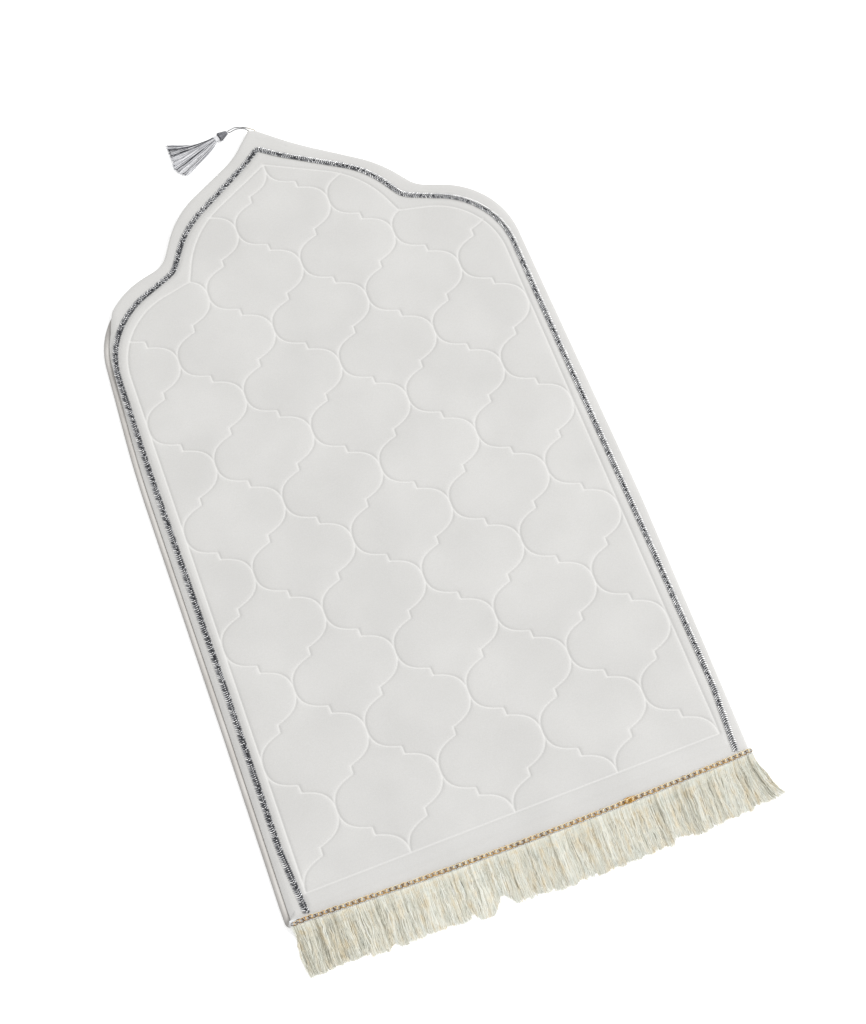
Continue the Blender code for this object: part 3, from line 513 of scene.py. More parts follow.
class Finish:
    """A procedural material; each finish works out its own shader's inputs."""

    name: str

    def build(self) -> bpy.types.Material:
        """Make the material and return it."""
        made = bpy.data.materials.new(self.name)
        made.use_nodes = True
        tree = made.node_tree
        tree.nodes.clear()
        shader = add_node(tree, "BsdfPrincipled", self.dress(tree))
        add_node(tree, "OutputMaterial", {"Surface": shader.outputs["BSDF"]})
        return made

    def dress(self, tree: Tree) -> dict[str, object]:
        """Return the shader's inputs, each a value or the socket that feeds it."""
        raise NotImplementedError

    @staticmethod
    def coordinates(tree: Tree, stretch: Point = (1.0, 1.0, 1.0)) -> Socket:
        """Return the object's own coordinates, stretched along each axis."""
        source = add_node(tree, "TexCoord").outputs["Object"]
        return add_node(tree, "Mapping", {"Vector": source, "Scale": stretch}).outputs["Vector"]

    @staticmethod
    def grain(
        tree: Tree, where: Socket, size_mm: float, detail: float = 2.0, roughness: float = 0.5
    ) -> Socket:
        """Return an uneven grain whose lumps are about the given size."""
        sizes = {"Scale": 1000.0 / size_mm, "Detail": detail, "Roughness": roughness}
        return add_node(tree, "TexNoise", {"Vector": where, **sizes}).outputs["Fac"]

    @staticmethod
    def bands(
        tree: Tree, where: Socket, way: Bands, pitch_mm: float, uneven: float = 0.0
    ) -> Socket:
        """Return even bands at the given pitch."""
        inputs = {"Vector": where, "Scale": 1000.0 / pitch_mm / WAVE_TURNS, "Distortion": uneven}
        node = add_node(tree, "TexWave", inputs, wave_type="BANDS", bands_direction=way.value)
        return node.outputs["Fac"]

    @staticmethod
    def rise(tree: Tree, where: Socket, axis: str, low_mm: float, high_mm: float) -> Socket:
        """Return a value that rises from 0 to 1 between two places on an axis."""
        along = add_node(tree, "SeparateXYZ", {"Vector": where}).outputs[axis]
        ends = {"From Min": low_mm * MM, "From Max": high_mm * MM}
        return add_node(tree, "MapRange", {"Value": along, **ends}).outputs["Result"]

    @staticmethod
    def mixed(tree: Tree, a: object, b: object, share: object, how: str = "MIX") -> Socket:
        """Return two colours mixed in the given way.

        The node's colour sockets share their names with others, so they go by place.
        """
        inputs = {0: share, 6: a, 7: b}
        return add_node(tree, "Mix", inputs, data_type="RGBA", blend_type=how).outputs[2]

    @staticmethod
    def relief(tree: Tree, height: Socket, depth_mm: float, under: Socket | None = None) -> Socket:
        """Return a bumped normal whose relief has the given depth."""
        inputs = {"Height": height, "Distance": depth_mm * MM, "Strength": 1.0}
        lower = {"Normal": under} if under else {}
        return add_node(tree, "Bump", {**inputs, **lower}).outputs["Normal"]

    @staticmethod
    def shade(tree: Tree) -> Socket:
        """Return the grey value painted on the piece."""
        return add_node(tree, "Attribute", attribute_name="shade").outputs["Fac"]


@dataclass(frozen=True)
class Velour(Finish):
    """Short-pile polyester velour: soft and matt, paler where its pile is pressed flat, with a
    painted sheen highlight there.
    """

    name: str = "velour"
    pale: str = "#DDDCDA"
    shaded: str = "#D7D6D4"
    # pale colour along the pressed lines: the flattened pile, with a painted sheen highlight
    pressed: str = "#EBEAE8"
    fibre_mm: float = 1.3
    nap_mm: float = 90.0

    def dress(self, tree: Tree) -> dict[str, object]:
        """Mottle the cloth with brushed nap, and lighten it along the pressed lines with a painted
        sheen highlight.
        """
        where = self.coordinates(tree)
        fibre = self.grain(tree, where, self.fibre_mm, 3.0, 0.7)
        nap = self.grain(tree, where, self.nap_mm)
        tone = ramp(tree, nap, ((0.35, self.shaded), (0.68, self.pale)))
        # painted sheen highlight: the painted grey value mixes the pale colour in along the pressed
        # lines
        tone = self.mixed(tree, tone, linear(self.pressed), self.shade(tree))
        speckle = ramp(tree, fibre, ((0.25, "#F3F3F2"), (0.75, "#FFFFFF")))
        return {
            "Base Color": self.mixed(tree, tone, speckle, 1.0, "MULTIPLY"),
            "Normal": self.relief(tree, fibre, 0.13),
            "Roughness": 0.95,
            "Specular IOR Level": 0.2,
            "Sheen Weight": 0.2,
            "Sheen Roughness": 0.5,
            "Sheen Tint": WHITE,
        }


@dataclass(frozen=True)
class BaseCloth(Finish):
    """Warp-knit base cloth: a smoother, warmer white than the velour, with fine wales and painted
    shade on its roll's lower part.
    """

    name: str = "base_cloth"
    pale: str = "#DCD9D5"
    shaded: str = "#CFCBC6"
    # darker grey on the roll's lower part: painted shade, blended in between the two heights below,
    # in millimetres
    underside_painted_shade: str = "#9B9895"
    underside_shade_mm: Pair = (3.0, 7.3)
    wale_mm: float = 1.6

    def dress(self, tree: Tree) -> dict[str, object]:
        """Draw the wales along the rug and a faint unevenness of tone, and paint shade below the
        given heights.
        """
        where = self.coordinates(tree)
        tone = ramp(tree, self.grain(tree, where, 45.0), ((0.3, self.shaded), (0.7, self.pale)))
        # painted shade: below these heights the cloth turns to the darker grey
        up = self.rise(tree, where, "Z", *self.underside_shade_mm)
        knit = self.relief(tree, self.bands(tree, where, Bands.ALONG, self.wale_mm, 0.6), 0.12)
        return {
            "Base Color": self.mixed(tree, linear(self.underside_painted_shade), tone, up),
            "Normal": self.relief(tree, self.grain(tree, where, 1.1), 0.1, knit),
            "Roughness": 0.9,
            "Sheen Weight": 0.2,
        }


@dataclass(frozen=True)
class ShinyThread(Finish):
    """Glossy thread whose tone follows the grey value painted on its piece."""

    name: str
    dark: str
    middle: str
    bright: str
    metallic: float
    roughness: float
    ridge_mm: float = 0.0
    ridge_depth: float = 0.0

    def dress(self, tree: Tree) -> dict[str, object]:
        """Vary the tone from thread to thread, and ridge foil finely."""
        stops = ((0.0, self.dark), (0.5, self.middle), (1.0, self.bright))
        inputs = {"Base Color": ramp(tree, self.shade(tree), stops)}
        if self.ridge_mm:
            fine = self.grain(tree, self.coordinates(tree), self.ridge_mm, 1.0)
            inputs["Normal"] = self.relief(tree, fine, self.ridge_depth)
        return {**inputs, "Metallic": self.metallic, "Roughness": self.roughness}


@dataclass(frozen=True)
class Cotton(Finish):
    """Matt cotton yarn, slightly uneven in tone."""

    name: str
    shaded: str
    pale: str
    lump_mm: float = 1.6
    pale_at: float = 0.65
    fuzz_mm: float = 0.25
    roughness: float = 0.75
    sheen: float = 0.2

    def dress(self, tree: Tree) -> dict[str, object]:
        """Give the yarn its tone and fuzz."""
        uneven = self.grain(tree, self.coordinates(tree), self.lump_mm)
        return {
            "Base Color": ramp(tree, uneven, ((0.3, self.shaded), (self.pale_at, self.pale))),
            "Normal": self.relief(tree, uneven, self.fuzz_mm),
            "Roughness": self.roughness,
            "Sheen Weight": self.sheen,
        }


@dataclass(frozen=True)
class FringeYarn(Finish):
    """Rayon fringe yarn: silky, from white through ivory to a greyish beige."""

    name: str = "fringe_yarn"
    deep: str = "#A9A596"
    middle: str = "#E6E3D8"
    pale: str = "#FFFFFC"
    tints: tuple[tuple[float, str], ...] = ((0.3, "#EFF2EF"), (0.52, "#FCFCF8"), (0.72, "#F8EFDC"))
    streak: Point = (1.0, 0.3, 1.0)
    streak_mm: float = 7.0

    def dress(self, tree: Tree) -> dict[str, object]:
        """Tint each strand and each stretch of the fringe a little differently."""
        where = self.coordinates(tree, self.streak)
        tint = ramp(tree, self.grain(tree, where, self.streak_mm, 3.0, 0.6), self.tints)
        stops = ((0.0, self.deep), (0.45, self.middle), (1.0, self.pale))
        tone = ramp(tree, self.shade(tree), stops)
        colour = self.mixed(tree, tone, tint, 1.0, "MULTIPLY")
        return {"Base Color": colour, "Roughness": 0.4, "Sheen Weight": 0.3}


@dataclass(frozen=True)
class LoopCord(Finish):
    """Thin two-ply grey cord with slanting bands, beige where it enters the seam."""

    name: str = "loop_cord"
    dark: str = "#2C2D31"
    bright: str = "#5C5D62"
    seam: str = "#B3A684"
    seam_mm: Pair = (-4.0, 3.0)
    ply_mm: float = 1.2

    def dress(self, tree: Tree) -> dict[str, object]:
        """Band the cord along its length and warm its tone near the seam."""
        where = self.coordinates(tree)
        bands = self.bands(tree, where, Bands.SLANTING, self.ply_mm)
        tone = ramp(tree, bands, ((0.2, self.dark), (0.8, self.bright)))
        near = self.rise(tree, where, "X", *self.seam_mm)
        return {
            "Base Color": self.mixed(tree, tone, linear(self.seam), near),
            "Normal": self.relief(tree, bands, 0.15),
            "Roughness": 0.45,
        }


@dataclass(frozen=True)
class FloorPaint(Finish):
    """Matt pale floor of the studio, lit a little from beneath."""

    name: str = "pale_floor"
    tone: str = "#FAFAFA"
    glow: float = 0.3

    def dress(self, tree: Tree) -> dict[str, object]:
        """Keep the floor plain."""
        plain = {"Base Color": linear(self.tone), "Roughness": 0.9, "Specular IOR Level": 0.1}
        return {**plain, "Emission Color": WHITE, "Emission Strength": self.glow}


SILVER = ShinyThread("silver_thread", "#5E5F63", "#C3C4C7", "#FAFAFA", 0.6, 0.3, 0.5, 0.12)
GOLD = ShinyThread("gold_thread", "#4E2F08", "#E2AA47", "#FFF3CE", 0.35, 0.34, 0.6, 0.15)
SATIN = ShinyThread("tassel_thread", "#2F3035", "#9C9DA3", "#FAFAFC", 0.15, 0.32)
DARK_CORE = Cotton("braid_core", "#222327", "#3C3D41", 1.5, 0.7, 0.2, 0.8, 0.0)
HEADING = Cotton("heading_yarn", "#DADEE0", "#F1F3F4")


# ---- base of every sub-assembly


@dataclass
class SubAssembly:
    """A group of pieces that is built together and rides on the rug's one body."""

    slot: str = ""
    nodes: tuple[str, ...] = ()

    def build(self) -> None:
        """Build every piece of the sub-assembly."""
        raise NotImplementedError

    def keep(self, obj: Object, finish: Finish, replaces: bool = False) -> None:
        """Dress a finished piece, let it ride, and report it.

        Args:
            obj: the finished piece.
            finish: what it is made of.
            replaces: whether it stands for the sub-assembly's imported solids.
        """
        obj.data.materials.clear()
        obj.data.materials.append(finish.build())
        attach(obj, BODY)
        if replaces:
            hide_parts(*self.nodes)
        log.info("%s: %d faces", obj.name, len(obj.data.polygons) if obj.type == "MESH" else 0)

    def copy_about(
        self, name: str, form: Form, places: list, axes: list, shades: np.ndarray, finish: Finish
    ) -> None:
        """Place a copy of a form at each place, and keep them as one piece.

        Args:
            name: the piece's name.
            form: the form's points and faces.
            places: where each copy's origin goes.
            axes: for each copy, its three axes as rows.
            shades: the grey value of each copy, or of each of its points.
            finish: what the copies are made of.
        """
        points, faces = form
        placed = np.array(places)[:, None] + np.einsum("pk,nkc->npc", points, np.array(axes))
        faces = repeated(faces, len(points), len(places))
        obj = new_mesh(name, placed.reshape(-1, 3), faces)
        face_outwards(obj)
        smooth(obj, 80.0)
        paint(obj, np.broadcast_to(shades, placed.shape[:2]).ravel())
        self.keep(obj, finish, True)

    def lay_threads(
        self,
        name: str,
        paths: np.ndarray,
        wide: np.ndarray | float,
        finish: Finish,
        shades: np.ndarray | float = 0.0,
        sides: int = 5,
        tall: float = 1.0,
        floor: float = 0.0,
        replaces: bool = False,
    ) -> None:
        """Bend a copy of a straight thread along each path, and keep them as one piece.

        Args:
            name: the piece's name.
            paths: threads, sections and coordinates of the centrelines.
            wide: half width of each section.
            finish: what the threads are made of.
            shades: the grey value of each thread, or of each of its sections.
            sides: how many sides a thread has.
            tall: its half height, as a share of the half width.
            floor: the lowest that a point may lie.
            replaces: whether the piece stands for the sub-assembly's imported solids.
        """
        points, faces = model_thread(paths.shape[1], sides)
        section = np.rint(points[:, 2]).astype(int)
        wide = np.broadcast_to(wide, paths.shape[:2])[:, section]
        along = np.gradient(paths, axis=1)
        along /= np.linalg.norm(along, axis=2, keepdims=True)
        side = np.cross(along, np.array((0.0, 0.0, 1.0)))
        side /= np.maximum(1e-9, np.linalg.norm(side, axis=2, keepdims=True))
        over = np.cross(side, along)
        placed = paths[:, section] + side[:, section] * (points[:, 0] * wide)[..., None]
        placed = placed + over[:, section] * (points[:, 1] * wide * tall)[..., None]
        placed[..., 2] = np.maximum(placed[..., 2], floor)
        faces = repeated(faces, len(points), len(paths))
        obj = new_mesh(name, placed.reshape(-1, 3), faces)
        smooth(obj, 80.0)
        paint(obj, np.broadcast_to(shades, paths.shape[:2])[:, section].ravel())
        self.keep(obj, finish, replaces)


# ---- studio


@dataclass
class Studio:
    """Camera at the photo's place, a plain floor and soft light from the rug's right."""

    eye: Point = (-0.150, -0.719, 1.979)
    aim: Point = (0.04503, -0.10886, 0.014)
    roll: float = 21.675
    lens: float = 52.17
    sensor: float = 36.0
    nearest: float = 0.05
    floor_side: float = 12.0
    key_azimuth: float = -10.0
    key_height: float = 46.0
    key_distance: float = 10.0
    key_power: float = 460.0
    key_size: float = 3.6
    sky: float = 0.775

    def build(self) -> None:
        """Set up the camera, the floor and the light."""
        self.place_camera()
        self.lay_floor()
        self.hang_lights()
        bpy.context.scene.view_settings.view_transform = "Standard"

    def place_camera(self) -> None:
        """Turn the camera as the photo was taken: +Y leans to the left of its top."""
        deselect()
        bpy.ops.object.camera_add(location=self.eye)
        camera = bpy.context.object
        camera.data.lens = self.lens
        camera.data.sensor_width = self.sensor
        camera.data.clip_start = self.nearest
        forward = (Vector(self.aim) - Vector(self.eye)).normalized()
        along = Vector((0.0, 1.0, 0.0))
        along = (along - forward * along.dot(forward)).normalized()
        across = forward.cross(along)
        cos_a, sin_a = math.cos(math.radians(self.roll)), math.sin(math.radians(self.roll))
        up = along * cos_a + across * sin_a
        right = across * cos_a - along * sin_a
        turned = Matrix((right, up, -forward)).transposed().to_4x4()
        turned.translation = Vector(self.eye)
        camera.matrix_world = turned
        bpy.context.scene.camera = camera

    def lay_floor(self) -> None:
        """Lay a plain pale floor under the rug."""
        deselect()
        bpy.ops.mesh.primitive_plane_add(size=self.floor_side, location=(0, 0, 0))
        floor = bpy.context.object
        floor.name = "floor"
        floor.data.materials.append(FloorPaint().build())

    def hang_lights(self) -> None:
        """Hang one broad key light and light the rest from an even sky."""
        a, h = math.radians(self.key_azimuth), math.radians(self.key_height)
        way = Vector((math.cos(a) * math.cos(h), math.sin(a) * math.cos(h), math.sin(h)))
        deselect()
        bpy.ops.object.light_add(type="AREA", location=way * self.key_distance)
        key = bpy.context.object
        key.name = "key_light"
        key.data.shape = "DISK"
        key.data.size = self.key_size
        key.data.energy = self.key_power
        key.rotation_euler = way.to_track_quat("Z", "Y").to_euler()
        world = bpy.data.worlds.new("soft_sky")
        bpy.context.scene.world = world
        world.use_nodes = True
        back = world.node_tree.nodes["Background"]
        back.inputs["Color"].default_value = WHITE
        back.inputs["Strength"].default_value = self.sky


# ---- padded panel and base


class Raster:
    """An even grid of values over the rug's plan, in millimetres."""

    def __init__(self, low: Pair, high: Pair, step: float) -> None:
        """Lay the grid out.

        Args:
            low: its lowest x and y.
            high: its highest x and y.
            step: the distance between two values.
        """
        self.low = low
        self.step = step
        self.xs, self.ys = (np.arange(a, b + step, step) for a, b in zip(low, high))

    def distance(self, lines: Sequence[np.ndarray], reach: float) -> np.ndarray:
        """Return the distance to the nearest of the lines, up to the reach."""
        out = np.full((len(self.ys), len(self.xs)), reach)
        for line in lines:
            for a, b in zip(line, line[1:]):
                low = np.minimum(a, b) - reach
                high = np.maximum(a, b) + reach
                columns = slice(*np.searchsorted(self.xs, (low[0], high[0])))
                rows = slice(*np.searchsorted(self.ys, (low[1], high[1])))
                gx = self.xs[None, columns] - a[0]
                gy = self.ys[rows, None] - a[1]
                run = b - a
                t = np.clip((gx * run[0] + gy * run[1]) / max(1e-9, float(run @ run)), 0.0, 1.0)
                found = np.hypot(gx - t * run[0], gy - t * run[1])
                out[rows, columns] = np.minimum(out[rows, columns], found)
        return out

    def inside(self, loop: np.ndarray) -> np.ndarray:
        """Tell for each value whether it lies inside a closed line."""
        out = np.zeros((len(self.ys), len(self.xs)), dtype=bool)
        after = np.roll(loop, -1, axis=0)
        for j, y in enumerate(self.ys):
            crosses = (loop[:, 1] > y) != (after[:, 1] > y)
            (px, py), (qx, qy) = loop[crosses].T, after[crosses].T
            hits = np.sort(px + (y - py) * (qx - px) / (qy - py))
            out[j] = np.searchsorted(hits, self.xs) % 2 == 1
        return out

    def blur(self, values: np.ndarray, width: float) -> np.ndarray:
        """Return the values softened over about the given width."""
        reach = max(1, int(3 * width / self.step))
        kernel = np.exp(-((np.arange(-reach, reach + 1) * self.step / width) ** 2))
        kernel /= kernel.sum()
        padded = np.pad(values, reach, mode="edge")
        soft = sum(k * padded[:, n : n + values.shape[1]] for n, k in enumerate(kernel))
        return sum(k * soft[n : n + values.shape[0]] for n, k in enumerate(kernel))

    def sample(self, values: np.ndarray, points: np.ndarray) -> np.ndarray:
        """Return the values at the given points, read between the grid's own."""
        fx = np.clip((points[:, 0] - self.low[0]) / self.step, 0, len(self.xs) - 1.001)
        fy = np.clip((points[:, 1] - self.low[1]) / self.step, 0, len(self.ys) - 1.001)
        i, j = fx.astype(int), fy.astype(int)
        u, v = fx - i, fy - j
        low = values[j, i] * (1 - u) + values[j, i + 1] * u
        high = values[j + 1, i] * (1 - u) + values[j + 1, i + 1] * u
        return low * (1 - v) + high * v


@dataclass
class Trellis:
    """The ogee trellis that is pressed into the panel, in millimetres."""

    wall_handle: float = 24.0
    foot: Pair = (36.0, 37.3)
    foot_slope: float = 17.0
    foot_handle: float = 22.0
    rows: int = 15
    columns: int = 4
    fine: int = 22

    def side(self) -> np.ndarray:
        """Return one side of a cell, from a wall's middle to the next wall's middle."""
        slope = math.radians(self.foot_slope)
        p1 = np.array((0.0, self.wall_handle))
        p3 = np.array(self.foot)
        p2 = p3 - self.foot_handle * np.array((math.cos(slope), math.sin(slope)))
        t = np.linspace(0.0, 1.0, self.fine)[:, None]
        arc = 3 * (1 - t) ** 2 * t * p1 + 3 * (1 - t) * t**2 * p2 + t**3 * p3
        middle = np.array((PLAN.pitch_x / 4, PLAN.pitch_y / 4))
        return np.vstack([arc, 2 * middle - arc[::-1]])

    def lines(self, raster: Raster, within: np.ndarray) -> list[np.ndarray]:
        """Return the trellis lines as far as they lie within the border.

        Args:
            raster: the grid that the border's inside is marked on.
            within: which of the grid's values lie inside the border.
        """
        side = self.side()
        kept: list[np.ndarray] = []
        for row in range(-1, self.rows):
            y = PLAN.field_end + row * PLAN.pitch_y / 2
            for column in range(-self.columns, self.columns + 1):
                if (row + column) % 2 == 0:
                    centre = np.array((column * PLAN.pitch_x / 2, y))
                    for way in (-1.0, 1.0):
                        kept += self._cut(centre + side * (way, 1.0), raster, within)
        return kept

    @staticmethod
    def _cut(line: np.ndarray, raster: Raster, within: np.ndarray) -> list[np.ndarray]:
        """Return the stretches of a line that lie inside the border."""
        inside = np.pad(raster.sample(within.astype(float), line) > 0.5, 1)
        ends = np.flatnonzero(inside[1:] != inside[:-1]).reshape(-1, 2)
        return [line[max(0, first - 1) : last + 1] for first, last in ends]


@dataclass
class PaddedPanel(SubAssembly):
    """The velour panel: pressed trellis and border, raised field, rolled rim."""

    slot: str = "velour"
    nodes: tuple[str, ...] = ("pad",)
    groove_depth: float = 1.7
    groove_half: float = 1.5
    dip_depth: float = 0.35
    dip_reach: float = 10.0
    shine_half: float = 1.0
    channel: Pair = (4.9, 9.6)  # from the braid's middle, where the field rises
    reach: float = 24.0
    sag: float = 0.25
    sag_mm: Table = ((62.0, 1.0, 0.3), (27.0, 0.5, 4.1))  # size, weight and slice of the noise
    rim: tuple[Point, ...] = (  # inset, height, and height where the edge lies low
        (10.0, 12.6, 12.6), (7.7, 12.5, 12.0), (5.5, 12.3, 11.1), (3.7, 11.9, 10.1),
        (2.2, 11.4, 9.2), (1.1, 10.5, 8.5), (0.4, 9.4, 7.9), (0.0, 7.6, 7.1),
        (0.3, 6.4, 6.1), (1.2, 5.0, 5.0),
    )
    shine_above: float = PLAN.shelf - 1.5
    soften: float = 0.6
    sag_step: float = 12.0
    sag_soften: float = 6.0
    fringe_low: float = 0.5  # how low the rim lies under the heading
    fringe_corner: Pair = (316.0, -500.0)
    fine_mm: float = 1.2
    # distances from the pressed lines that each grid covers
    nested: tuple[Pair, ...] = ((-1.0, 2.8), (2.8, 6.5), (6.5, 15.0), (15.0, 99.0))
    clearance: float = 1.4
    weld_reach: float = 2e-5
    raster: Raster = field(default_factory=lambda: Raster(*RUG_BOX, 0.8))

    def build(self) -> None:
        heights, near, pressed = self.heights()
        panel = self.build_field(heights, near)
        rim = self.build_rim()
        activate(panel)
        rim.select_set(True)
        bpy.ops.object.join()
        panel = bpy.context.object
        panel.name = "padded_panel"
        weld(panel, self.weld_reach)
        face_outwards(panel, close=True)
        smooth(panel, 70.0)
        places = read_points(panel) / MM
        away = self.raster.sample(pressed, places[:, :2])
        # painted sheen highlight along the pressed lines, on the panel's top only
        shine = np.exp(-((away / self.shine_half) ** 2)) * (places[:, 2] > self.shine_above)
        paint(panel, shine)
        self.keep(panel, Velour(), True)

    def border(self) -> np.ndarray:
        """Return the pressed border, leaning outwards a little on its right side."""
        ring = Outline(whole(PLAN.border, PLAN.border_point), True, 3.0).ring()
        return ring + (ring[:, :1] > 0) * np.array((PLAN.border_lean, 0.0))

    def heights(self) -> tuple[np.ndarray, np.ndarray, np.ndarray]:
        """Work out the panel's top.

        Returns:
            The heights in millimetres on the raster, the distance to all that needs
            fine points, and the distance to the pressed lines.
        """
        border = self.border()
        within = self.raster.inside(border)
        lines = Trellis().lines(self.raster, within)
        pressed = self.raster.distance([closed_loop(border), *lines], self.reach)
        braid = Outline(braid_corners(), True, 3.0).ring()
        beside = self.raster.distance([closed_loop(braid)], self.reach)
        signed = np.where(self.raster.inside(braid), beside, -beside)
        raised = soft_step(*self.channel, signed)
        groove = np.exp(-((pressed / self.groove_half) ** 2))
        dip = np.exp(-((pressed / (0.5 * self.dip_reach)) ** 2)) * within
        top = PLAN.shelf + (PLAN.top - PLAN.shelf) * raised
        top = top - self.groove_depth * groove - self.dip_depth * dip
        top = top - self.uneven() * (0.25 + 0.75 * raised)
        near = np.minimum(pressed, 2.0 + np.abs(signed - 0.5 * sum(self.channel)))
        return self.raster.blur(top, self.soften), near, pressed

    def uneven(self) -> np.ndarray:
        """Return the padding's own unevenness, from nothing to the full sag."""
        coarse = Raster(*RUG_BOX, self.sag_step)
        values = np.zeros((len(coarse.ys), len(coarse.xs)))
        for size, weight, slice_at in self.sag_mm:
            values += weight * np.array(
                [
                    [noise.noise(Vector((x / size, y / size, slice_at))) for x in coarse.xs]
                    for y in coarse.ys
                ]
            )
        gx, gy = np.meshgrid(self.raster.xs, self.raster.ys)
        spread = coarse.sample(values, np.stack([gx.ravel(), gy.ravel()], axis=1))
        soft = self.raster.blur(spread.reshape(gx.shape), self.sag_soften)
        return self.sag * np.clip(0.5 + 0.7 * soft, 0.0, 1.0)

    def build_field(self, heights: np.ndarray, near: np.ndarray) -> Object:
        """Triangulate the panel's top, finely beside what is pressed into it.

        Operators can't press a trellis into an even cloth, so this surface is made
        from points on four nested grids.
        """
        ring = pad_ring(self.rim[0][0])
        keep_in = self.raster.inside(ring)
        room = np.where(keep_in, self.raster.distance([closed_loop(ring)], 6.0), 0.0)
        points = [ring]
        for level, (low, high) in enumerate(self.nested):
            spacing = self.fine_mm * 2**level
            xs, ys = np.arange(-328.0, 328.0, spacing), np.arange(-588.0, 576.0, spacing)
            gx, gy = np.meshgrid(xs, ys)
            flat = np.stack([gx.ravel(), gy.ravel()], axis=1)
            there = self.raster.sample(near, flat)
            clear = self.raster.sample(room, flat) > min(self.clearance, 0.5 * spacing)
            points.append(flat[(there > low) & (there <= high) & clear])
        flat = np.vstack(points)
        loop = len(ring)
        edges = [(k, (k + 1) % loop) for k in range(loop)]
        cut = geometry.delaunay_2d_cdt([Vector(p) for p in flat], edges, [], 1, 1e-5, True)
        places = np.array([tuple(p) for p in cut[0]])
        faces = np.array([f for f in cut[2] if len(f) == 3])
        middle = places[faces].mean(axis=1)
        faces = faces[self.raster.sample(keep_in.astype(float), middle) > 0.02]
        z = self.raster.sample(heights, places)
        z[[k for k, source in enumerate(cut[3]) if source and source[0] < loop]] = self.rim[0][1]
        return new_mesh("panel_field", np.column_stack([places, z]), faces.tolist())

    def build_rim(self) -> Object:
        """Roll the panel's edge over and under, lower on the left and by the fringe."""
        places = rug_outline().ring()
        half, top = self.fringe_corner
        fringed = (places[:, 1] < top) & (np.abs(places[:, 0]) < half)
        share = np.maximum(left_shares(places)[0], self.fringe_low * fringed)
        rows = [
            np.column_stack([pad_ring(inset), height + (low - height) * share])
            for inset, height, low in self.rim
        ]
        return wrapped_grid("panel_rim", np.array(rows), True)


@dataclass
class BasePanel(SubAssembly):
    """The base panel, whose soft rolled edge shows under the padded one."""

    slot: str = "base_cloth"
    nodes: tuple[str, ...] = ("base",)
    profile: tuple[Point, ...] = (  # inset, height, and height where the roll shows
        (10.1, 4.4, 4.4), (8.0, 4.4, 6.2), (6.0, 4.4, 7.3), (3.8, 4.3, 6.8),
        (1.6, 4.0, 5.0), (0.0, 2.6, 2.6), (0.6, 0.8, 0.8), (3.0, 0.0, 0.0),
    )

    def build(self) -> None:
        """Roll the panel's rim and close it above and below."""
        outline = rug_outline()
        tuck, up = left_shares(outline.ring())
        rows = []
        for inset, height, roll in smooth_line(self.profile, 3):
            hidden = outline.ring(float(inset) + PLAN.base_inset)
            ring = hidden + (outline.ring(float(inset)) - hidden) * tuck[:, None]
            rows.append(np.column_stack([ring, np.maximum(0.0, height + (roll - height) * up)]))
        panel = wrapped_grid("base_panel", np.array(rows), True)
        face_outwards(panel, close=True)
        smooth(panel)
        self.keep(panel, BaseCloth(), True)


# ---- trims


